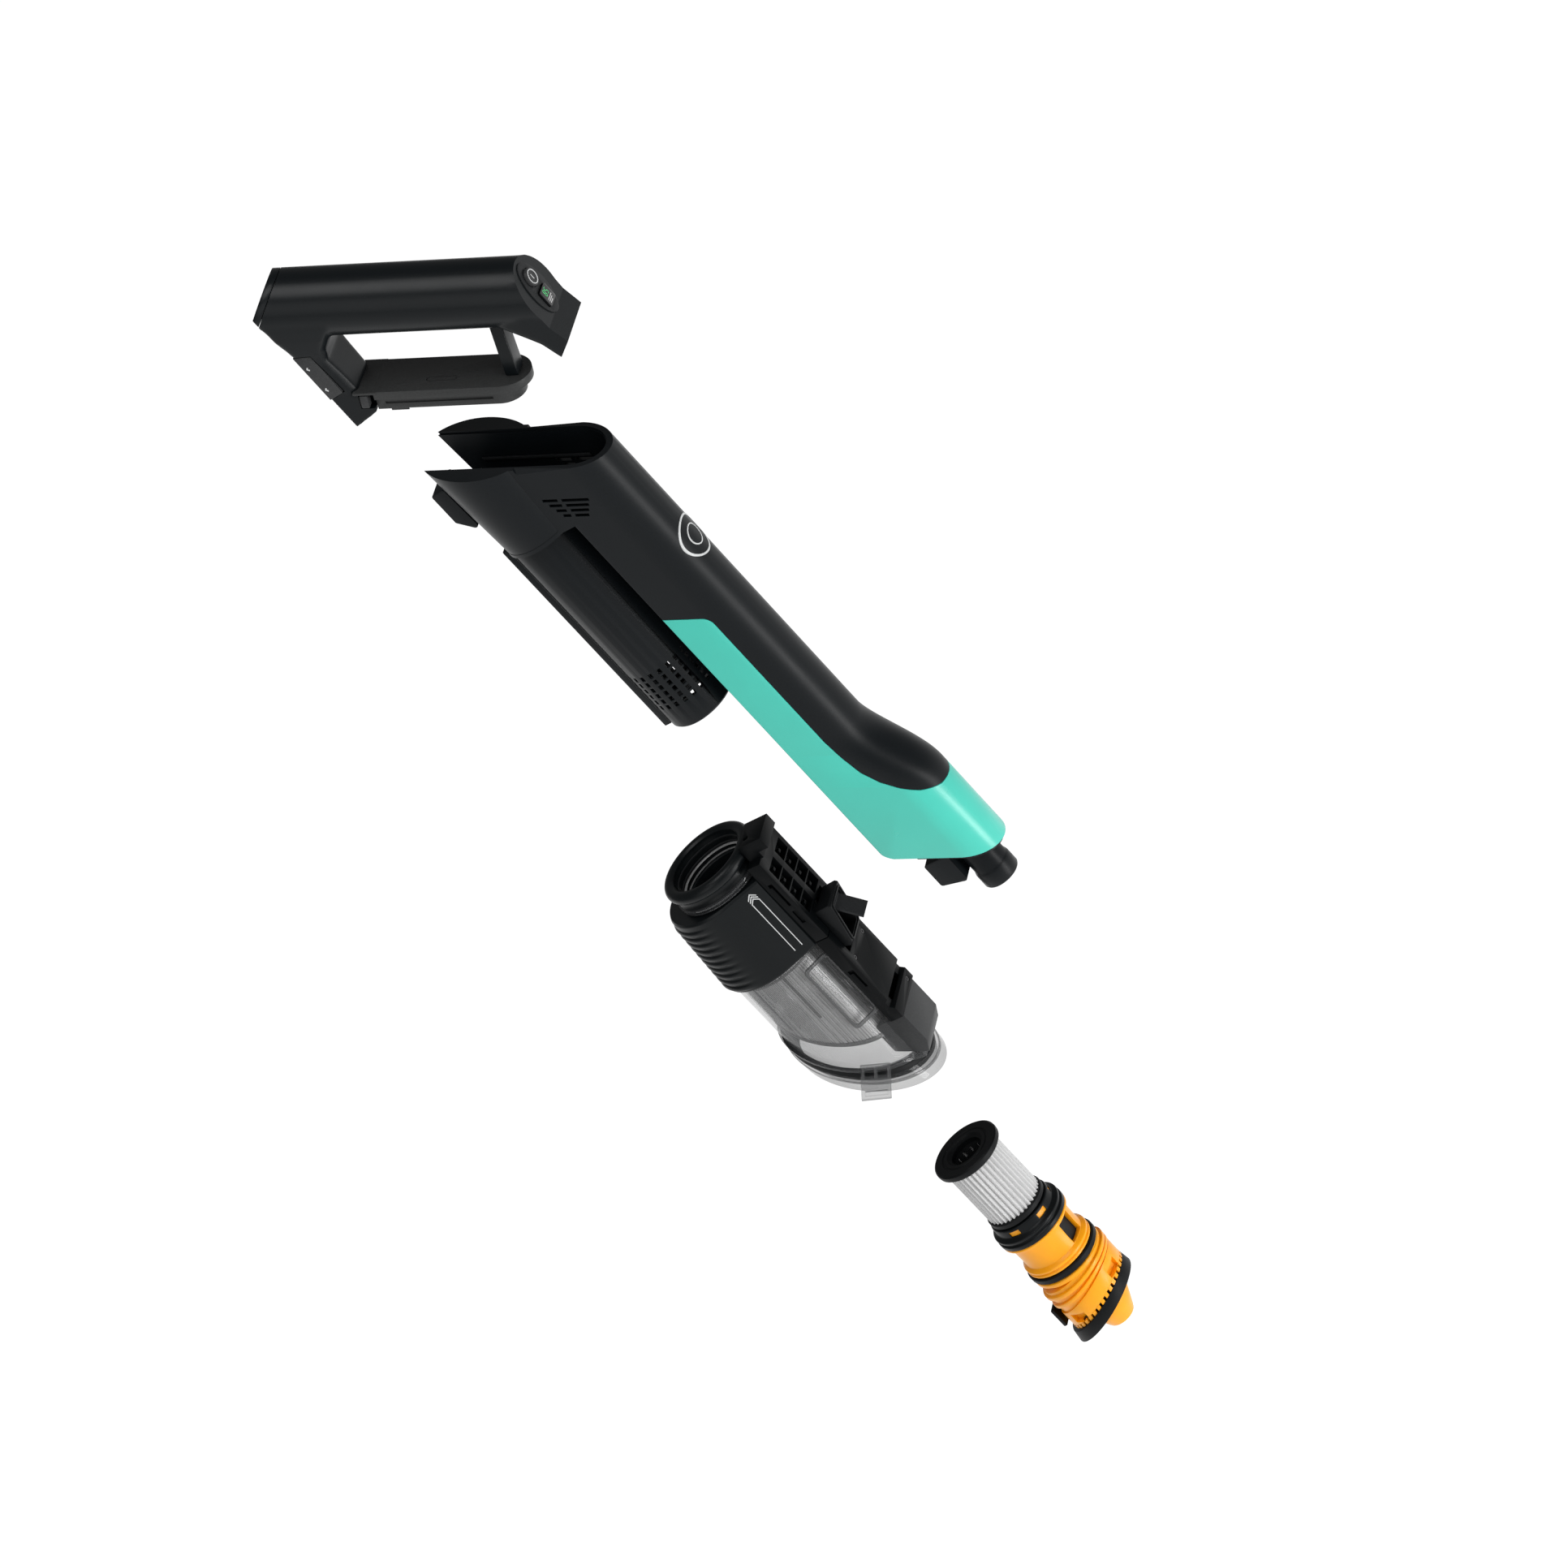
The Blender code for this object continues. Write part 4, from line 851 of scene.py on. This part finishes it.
def cheek_frame(name, radius, half, face, height, lean=0.0):
    """A frame on the near flat cheek: X out of it, Y along it towards the rear, Z up."""
    reach = face - BODY_AXIS
    bend = math.asin(radius / math.hypot(reach, half)) - math.atan2(half, reach)
    out = math.pi / 2 - bend
    touch = Vector((BODY_AXIS + radius * math.cos(out), -radius * math.sin(out)))
    middle = (touch + Vector((face, -half))) / 2
    empty = make_frame(name, middle.x, height, lean, BIN, across=middle.y)
    empty.rotation_euler.z = -out
    return empty


def sleeve_graphic():
    """Three chevrons and two long lines, printed on the near cheek."""
    side = cheek_frame("graphic_frame", 33.5, SLEEVE_HALF, SLEEVE_FACE, -44.0, math.radians(-1.5))
    lines = [((-0.6, y - 0.25, -22.0), (0.2, y + 0.25, 17.0)) for y in (-2.6, 2.6)]
    piece(blocks("graphic_lines", lines, side), "mark")
    for i in range(3):
        z = 17.8 + 1.7 * i
        chevron = [(-2.9, z - 1.8), (0, z + 1.0), (2.9, z - 1.8), (2.9, z - 1.0), (0, z + 1.8),
            (-2.9, z - 1.0)]
        piece(facing(f"graphic_chevron_{i}", chevron, 0.35, side), "mark")


def lid_plane(offset, thickness):
    """The side outline of a leaning layer: offset is its top, above the joint of the bin and the lid."""
    high = [(-70, LID_CUT + offset + LID_SLOPE * 70), (70, LID_CUT + offset - LID_SLOPE * 70)]
    return high + [(70, high[1][1] - thickness), (-70, high[0][1] - thickness)]


def lug(name, up, low, high):
    """A knuckle of the hinge, from low to high along the pin; up is 1 on the bin and -1 on the lid."""
    inner = -5.9 if up > 0 else -3.4
    outline = [(inner, 6.8), (inner, 2.4), (-2.5, 2.4), *arc((0, 0), 2.5, 180, 360, 20), (2.5, 3.0),
        (0, 6.8)]
    outlines = [[(x, z * up) for x, z in outline], arc((0, 0), 1.5, 0, 345, 23)]
    return facing(name, outlines, (high - low) / 2, HINGE, forward=(low + high) / 2)


def lid_slice(name, radius, offset, thickness, inner=0.0):
    """A round slice of the bin between two planes that lean as the lid does, hollow if inner is given."""
    part = rod(name, (BODY_AXIS, 0, -260), (BODY_AXIS, 0, -60), radius, BIN)
    if inner:
        cut(part, rod(name + "_space", (BODY_AXIS, 0, -270), (BODY_AXIS, 0, -50), inner, BIN))
    return keep(part, slab(name + "_keep", lid_plane(offset, thickness), BIN))


def clear_bin():
    shell = column("clear_bin", bin_plan(SHELL_R, CHEEK_HALF, CHEEK_FACE), -215, SLEEVE_FOOT - 0.3, BIN)
    cut(shell, rod("bin_space", (BODY_AXIS, 0, -230), (BODY_AXIS, 0, -60), SHELL_R - 2.2, BIN),
        slab("shell_trim", lid_plane(1.6, 200), BIN))
    join(shell, lug("bin_lug_rear", 1, -9.2, -4.8), lug("bin_lug_front", 1, 4.8, 9.2))
    piece(shell, "clear", bevel=1.0, angle=40)
    rim = lid_slice("shell_rim", LID_R, 4.2, 2.5, inner=SHELL_R + 0.1)
    cut(rim, block("rim_trim", (22.5, -20, -250), (60, 20, 0), BIN))
    piece(rim, "clear_rib", bevel=0.3)
    side = cheek_frame("window_frame", SHELL_R, CHEEK_HALF, CHEEK_FACE, -106.0)
    window = facing("window_rim", [rounded_box((-9.0, -24.9), (9.0, 24.9), 3.2),
        rounded_box((-7.0, -22.9), (7.0, 22.9), 2.0)], 0.7, side, forward=0.5)
    piece(window, "clear_edge", bevel=0.3)
    shade = tube("mesh_shroud", 28.6, 27.9, -24, -190, BIN, axis=BODY_AXIS)
    cut(shade, slab("shade_trim", lid_plane(22.0, 200), BIN))
    piece(shade, "mesh_wire")
    piece(lid_slice("shroud_foot", 29.0, 22.4, 3.0, inner=27.0), "soft_mark", bevel=0.3)
    band = tube("shroud_band", 28.9, 27.7, -76, -77.3, BIN, axis=BODY_AXIS)
    piece(band, "soft_mark")
    posts = blocks("shroud_posts", [((27.7, -0.8, -112), (28.9, 0.8, -72.4), math.radians(45 * i + 20))
        for i in range(8)], BIN)
    posts.location = mm(BODY_AXIS, 0, 0)
    piece(posts, "soft_mark", bevel=0.2)


def lid():
    piece(lid_slice("lid_seal", LID_R, 1.4, 6.0, inner=LID_R - 4.2), "rubber", "bin_lid", bevel=0.4)
    skirt = lid_slice("lid_seal_skirt", LID_R - 2.7, -1.0, 7.0, inner=LID_R - 4.4)
    piece(skirt, "rubber", "bin_lid", bevel=0.3)
    cover = lid_slice("bin_lid", LID_R + 0.4, -1.6, LID_DEPTH - 2.5)
    cut(cover, lid_slice("lid_bowl", LID_R - 2.4, 1, LID_DEPTH - 2.7))
    join(cover, lug("lid_lug", -1, -4.4, 4.4))
    piece(cover, "clear_lid", "bin_lid", bevel=0.9, angle=45)
    ring = lid_slice("lid_ring", LID_R + 1.0, -6.0, 1.6, inner=LID_R + 0.4)
    piece(ring, "clear_rib", "bin_lid", bevel=0.3)
    piece(rod("hinge_pin", (-9, 0, 0), (9, 0, 0), 1.2, HINGE, sides=32), "steel", bevel=0.2)
    latch = facing("lid_latch",
        rounded([(-4.5, -13.5), (-1.4, -13.5), (-0.7, -8), (-0.7, 8.6), (-3.4, 9.5), (-4.5, 4)], 0.9), 8.5,
        LATCH)
    cut(latch, blocks("latch_windows", [((-6.5, -6, 1.0), (-1.0, 0, 6.5)), ((1.0, -6, 1.0), (6.5, 0, 6.5)),
        ((-6.5, -6, -10.5), (6.5, -3.2, -7.5))], LATCH))
    piece(latch, "clear_rib", bevel=0.3)


def back_plate():
    plate = block("back_plate", (28.9, -PLATE_W, -71.0), (FACE, PLATE_W, -9.0), BIN)
    catch = block("catch_block", (29.4, -10.5, -10), (45.4, 10.5, 2.3), BIN)
    cut(catch, block("catch_notch", (38.6, -12, -12), (47, 12, -5.6), BIN),
        rod("catch_hole", (33.5, -4, -12), (33.5, -4, 6), 1.7, BIN, sides=32))
    join(plate, catch)
    windows, teeth = [], []
    for i in range(4):
        top = -17.0 - 9.4 * i
        for side in (-1, 1):
            low, high = sorted((side * 2.3, side * 13.9))
            windows.append(((FACE - 4.5, low, top - 8.5), (FACE + 5, high, top)))
            low, high = sorted((side * 6.5, side * 9.0))
            teeth.append(((FACE - 5, low, top - 5.5), (FACE - 1.2, high, top - 3.5)))
    cut(plate, blocks("rail_windows", windows, BIN))
    for side in (-1, 1):
        groove = [(31.5, -24), (34.5, -24), (34.5, -42), (32.8, -42), (32.8, -26.5), (31.5, -26.5)]
        second = rectangle((31.5, -46), (34.0, -56))
        cut(plate, slab(f"rail_groove_{side}", groove, BIN, 2.2, across=side * PLATE_W),
            slab(f"rail_groove_low_{side}", second, BIN, 1.6, across=side * PLATE_W))
    cut(plate, block("gasket_seat", (27, -11.3, -72), (60, 11.3, -55.4), BIN))
    piece(plate, "rail_black", bevel=0.4)
    piece(blocks("rail_teeth", teeth, BIN), "rail_black", bevel=0.3)


def screw(name, forward, across, height):
    """A countersunk screw with a cross recess, facing forward."""
    head = rod(name, (forward - 2.6, across, height), (forward - 0.1, across, height), 1.5, BIN, sides=32)
    for i, (wide, tall) in enumerate(((1.0, 0.22), (0.22, 1.0))):
        cut(head, block(f"{name}_slot_{i}", (forward - 0.9, across - wide, height - tall),
            (forward + 1, across + wide, height + tall), BIN))
    return head


def duct_cover():
    side = [(28.9, -71.6), (FACE, -71.6), (FACE, -126), (35.2, -127.4), (35.2, -131), (FACE, -133),
        (FACE, PLATE_FOOT), (28.9, PLATE_FOOT)]
    cover = slab("duct_cover", side, BIN, PLATE_W)
    cut(cover, block("gasket_seat_low", (27, -11.3, -90), (60, 11.3, -70), BIN),
        block("duct_way", (30.6, -10.5, -160), (35.8, 10.5, -80), BIN))
    for s in (-1, 1):
        cut(cover, slab(f"cover_groove_{s}", [(30.6, -98), (34.6, -98), (34.6, -112), (33.0, -112),
            (33.0, -100.5), (30.6, -100.5)], BIN, 1.6, across=s * PLATE_W))
    for i, (across, height) in enumerate(((-11, -95), (11, -95), (11, -136.6))):
        cut(cover, rod(f"screw_hole_{i}", (FACE - 3, across, height), (FACE + 2, across, height), 1.8, BIN,
            sides=32))
        piece(screw(f"cover_screw_{i + 1}", FACE, across, height), "dark_steel")
    piece(cover, "rail_black", bevel=0.4)
    piece(block("port_well", (27.7, -11.2, -91.0), (28.7, 11.2, -55.6), BIN), "bin_black", bevel=0.2)
    chute = slab("inlet_chute", [(15.0, -161.5), (33.0, -171.0), (37.4, -163), (37.4, PLATE_FOOT - 0.3),
        (15.0, PLATE_FOOT - 0.3)], BIN, 15.2)
    cut(chute, block("chute_way", (29.2, -10.5, -160), (35.2, 10.5, -120), BIN))
    piece(chute, "light_grey", bevel=0.8)


def inlet():
    gasket = slab("inlet_gasket",
        rounded([(-8.2, -14.0), (1.0, -15.2), (2.6, -13.0), (2.6, 14.6), (1.0, 15.6), (-8.2, 13.0)], 0.9),
        PORT, 10.9)
    cut(gasket, facing("gasket_way", rounded_box((-7.6, -11.6), (7.6, 12.4), 2.0), 20, PORT))
    piece(gasket, "rubber", bevel=0.7)
    lip = facing("gasket_lip", [rounded_box((-9.4, -13.6), (9.4, 14.2), 2.6),
        rounded_box((-8.4, -12.5), (8.4, 13.2), 2.0)], 0.5, PORT, forward=2.9)
    piece(lip, "rubber", bevel=0.2)
    flap = block("inlet_flap", (-0.7, -6.3, -17.9), (0.7, 6.3, 0.8), FLAP)
    join(flap, rod("flap_pin", (0, -6.9, 0), (0, 6.9, 0), 1.1, FLAP, sides=32))
    piece(flap, "dark_grey", bevel=0.3)


# ---------------------------------------------------------------- filter and cyclone
def filter_unit():
    flange = turned("filter_flange", [(12.6, 0.0), (14.6, 0.0), (15.0, -0.5), (15.8, -0.5), (16.2, 0),
        (21.0, 0), (22.0, -0.8), (22.2, -2.2), (22.0, -3.8), (21.0, -4.8), (10.4, -4.8), (10.4, -2.0),
        (11.8, -1.2)], CYCLONE)
    piece(flange, "rubber", "filter")
    pleats = []
    for i in range(PLEATS):
        for share, radius in ((0.0, PLEAT_R - 2.2), (0.35, PLEAT_R - 0.25), (0.5, PLEAT_R),
                (0.65, PLEAT_R - 0.25)):
            angle = 2 * math.pi * (i + share) / PLEATS
            pleats.append((radius * math.cos(angle), radius * math.sin(angle)))
    paper = column("filter_pleats", pleats, -47.0, -5.0, CYCLONE)
    cut(paper, rod("pleat_bore", (0, 0, -60), (0, 0, 5), 13.4, CYCLONE))
    piece(paper, "paper", "filter")
    core = tube("filter_core", 13.0, 11.8, -5.1, -47.0, CYCLONE)
    slots = [((10, -0.7, z), (15, 0.7, z + 4), math.pi * i / 8) for i in range(16)
        for z in (-12, -19, -26, -33, -40)]
    cut(core, blocks("core_slots", slots, CYCLONE))
    piece(core, "dark_grey", "filter")
    foot = turned("filter_foot", [(0, -46.9), (18.9, -46.9), (19.4, -47.6), (19.4, -50.2), (18.8, -50.8),
        (16.8, -51.2), (16.8, -56.0), (0, -56.0)], CYCLONE, solid=True)
    piece(foot, "rubber", "filter")


def tilted_ring(name, outer, foot_outer, inner, high, low, slope):
    """A ring of the cyclone between two planes that rise towards the front."""
    ring = rod(name, (0, 0, low - 26), (0, 0, high + 26), foot_outer, CYCLONE, end_radius=outer)
    cut(ring, rod(name + "_bore", (0, 0, low - 40), (0, 0, high + 40), inner, CYCLONE))
    rise = slope * REACH
    leaning_sides = [(-REACH, low - rise), (REACH, low + rise), (REACH, high + rise), (-REACH, high - rise)]
    return keep(ring, slab(name + "_keep", leaning_sides, CYCLONE))


def cyclone_unit():
    collar = turned("seal_collar", [(18.2, -51.3), (20.0, -51.6), (20.4, -52.6), (20.4, -57.2),
        (21.6, -58.0), (23.2, -58.6), (23.4, -59.4), (23.2, -60.4), (22.2, -61.2), (22.4, -61.9),
        (23.6, -62.6), (23.6, -65.2), (17.6, -65.4), (17.6, -51.6)], CYCLONE)
    windows = [((15, -3.6, -56.9), (26, 3.6, -53.2), math.radians(60 * i + 28)) for i in range(6)]
    cut(collar, blocks("collar_windows", windows, CYCLONE))
    piece(collar, "bin_black", bevel=0.15)
    inner = tube("collar_liner", 19.6, 18.8, -53.0, -57.2, CYCLONE)
    piece(inner, "orange")
    barrel = turned("cyclone_barrel", [(23.0, -65.6), (23.4, -66.2), (23.4, -67.2), (22.2, -67.9),
        (21.0, -68.8), (20.6, -70.5), (20.2, -80.0), (20.4, -85.4), (22.4, -86.6), (22.8, -87.2),
        (22.8, -88.4), (21.8, -89.2), (22.8, -90.0), (22.8, -91.2), (21.2, -91.4), (21.2, -96.4),
        (23.2, -96.8), (23.6, -97.4), (23.6, -99.6), (22.4, -100.6), (20.0, -103.5), (17.4, -103.5),
        (17.4, -65.6)], CYCLONE)
    cut(barrel, block("barrel_window", (5, -9.5, -85.0), (25, 2.5, -69.6), CYCLONE))
    piece(barrel, "orange", bevel=0.15)
    piece(turned("o_ring", [(23.4, -91.9), (24.0, -92.6), (24.0, -95.4), (23.4, -96.1), (21.5, -96.1),
        (21.5, -91.9)], CYCLONE), "rubber")
    piece(tube("inner_cone", 17.2, 15.8, -66, -103, CYCLONE), "dark_grey")
    for name, outer, foot_outer, inner, high, low, slope, bevel in (
            ("vane_ring", 25.2, 25.2, 20.4, -104.6, -107.2, 0.2, 0.3),
            ("vane_ring_low", 25.0, 25.0, 20.4, -110.4, -112.8, 0.3, 0.3),
            ("vane_web", 23.0, 23.6, 19.0, -101.8, -118.4, 0.25, 0.2)):
        ring = tilted_ring(name, outer, foot_outer, inner, high, low, slope)
        piece(ring, "orange", bevel=bevel)
    drum = tilted_ring("vane_drum", 24.6, 24.2, 17.6, -116.4, -127.6, DRUM_SLOPE)
    inlets = []
    for turn in (-105, -15, 75, 165):
        rise = 10 * math.cos(math.radians(turn))
        inlets.append(((20.5, -5.5, rise - 127.5), (29, 5.5, rise - 120.5), math.radians(turn)))
    cut(drum, blocks("drum_inlets", inlets, CYCLONE))
    piece(drum, "orange", bevel=0.25)
    teeth = tilted_ring("vane_teeth", 24.4, 24.6, 22.0, -127.6, -130.2, DRUM_SLOPE)
    gaps = [((20, -0.9, -146), (28, 0.9, -112), 2 * math.pi * (i + 0.5) / 36) for i in range(36)]
    cut(teeth, blocks("teeth_gaps", gaps, CYCLONE))
    piece(teeth, "orange")
    back = tilted_ring("teeth_back", 22.6, 22.6, 20.0, -127.2, -132.0, DRUM_SLOPE)
    piece(back, "bin_black")
    skirt = tilted_ring("skirt", 22.4, 30.0, 22.2, -130.2, -138.4, DRUM_SLOPE)
    piece(skirt, "rubber", bevel=0.4)
    tip = turned("cone_tip", [(0, -129), (15.2, -129), (15.2, -138), (12.4, -145.0), (9.7, -151.4),
        (8.9, -152.9), (7.4, -153.6), (0, -153.6)], CYCLONE, solid=True)
    piece(tip, "orange")
    pad = block("drain_pad", (-27.0, -13, -136), (-24.6, 2, -122), CYCLONE)
    piece(pad, "rubber", bevel=0.6)


# ---------------------------------------------------------------- carried-over nodes, studio and camera
# The studio and the camera are in metres.
FLOOR_UP = -1.7
FLOOR_HALF = 30
BACKDROP_R = 34.0
LIGHT_TARGET = Vector((0, -0.05, -0.2))
CAMERA_LENS = 152.8
CAMERA_PLACE = (-2.6884, -1.96075, 1.34975)
CAMERA_RIGHT = Vector((0.1833, -0.7671, -0.6148))
CAMERA_UP = Vector((0.6568, -0.3698, 0.6572))
NODE_MATERIALS = {
    "dirt_duct": "dark_grey", "motor_mount": "rubber", "motor": "steel", "diffuser": "dark_grey",
    "intake_ring": "dark_grey", "control_board": "board", "impeller": "steel", "battery_cell_1": "cell",
    "battery_cell_2": "cell",
}


def carried_over():
    """Gives the inner nodes that are shown as they are a material of this script."""
    for name, material in NODE_MATERIALS.items():
        mesh = frame["nodes"][name].data
        mesh.materials.clear()
        mesh.materials.append(MATERIALS[material])


def area_light(name, location, size, energy):
    light = bpy.data.lights.new(name, "AREA")
    light.shape = "RECTANGLE"
    light.size, light.size_y = size
    light.energy = energy
    obj = shown(name, light)
    obj.location = location
    obj.rotation_euler = (LIGHT_TARGET - Vector(location)).to_track_quat("-Z", "Y").to_euler()
    obj.visible_camera = False


def studio():
    scene = bpy.context.scene
    scene.view_settings.view_transform = "Standard"
    world = bpy.data.worlds.new("studio")
    scene.world = world
    world.use_nodes = True
    background = world.node_tree.nodes["Background"]
    background.inputs["Color"].default_value = (1, 1, 1, 1)
    background.inputs["Strength"].default_value = 0.16
    mesh = bpy.data.meshes.new("floor")
    corners = rectangle((-FLOOR_HALF, -FLOOR_HALF), (FLOOR_HALF, FLOOR_HALF))
    mesh.from_pydata([(x, y, FLOOR_UP) for x, y in corners], [], [(0, 1, 2, 3)])
    floor = shown("floor", mesh)
    mesh.materials.append(make_material("pale_floor", (0.5, 0.5, 0.5), 0.9, speck=0.005, speck_scale=3.0,
        bump=0.0, specular=0.1, Emission_Color=(1, 1, 1, 1), Emission_Strength=0.93))
    dome_mesh = bpy.data.meshes.new("backdrop")
    shape = bmesh.new()
    bmesh.ops.create_uvsphere(shape, u_segments=64, v_segments=32, radius=BACKDROP_R)
    shape.to_mesh(dome_mesh)
    shape.free()
    dome_mesh.materials.append(make_material("backdrop", (0, 0, 0), 0.9, bump=0.0, specular=0.0,
        Emission_Color=(1, 1, 1, 1), Emission_Strength=1.0))
    dome = shown("backdrop", dome_mesh)
    dome.visible_diffuse = dome.visible_glossy = dome.visible_transmission = dome.visible_shadow = False
    area_light("top", (-0.45, -0.30, 1.6), (0.9, 0.9), 13)
    area_light("front_strip", (-0.42, -1.55, -0.95), (0.4, 1.7), 17)
    area_light("side", (-2.4, 0.2, 1.0), (1.8, 1.8), 16)
    area_light("front", (-1.2, -2.6, 1.3), (1.4, 1.4), 14)
    camera = bpy.data.cameras.new("camera")
    camera.lens = CAMERA_LENS
    camera.sensor_width = 36.0
    camera.clip_end = 60.0
    obj = shown("camera", camera)
    axes = Matrix((CAMERA_RIGHT, CAMERA_UP, CAMERA_RIGHT.cross(CAMERA_UP))).transposed().to_4x4()
    obj.matrix_world = Matrix.Translation(CAMERA_PLACE) @ axes
    scene.camera = obj


def main():
    body_shell()
    side_cover()
    badge()
    bin_channel()
    nozzle()
    motor_housing()
    head_pieces()
    handle_shell()
    handle_fittings()
    control_panel()
    bin_top()
    grip_sleeve()
    sleeve_graphic()
    clear_bin()
    lid()
    back_plate()
    duct_cover()
    inlet()
    filter_unit()
    cyclone_unit()
    bake()
    carried_over()
    studio()


main()
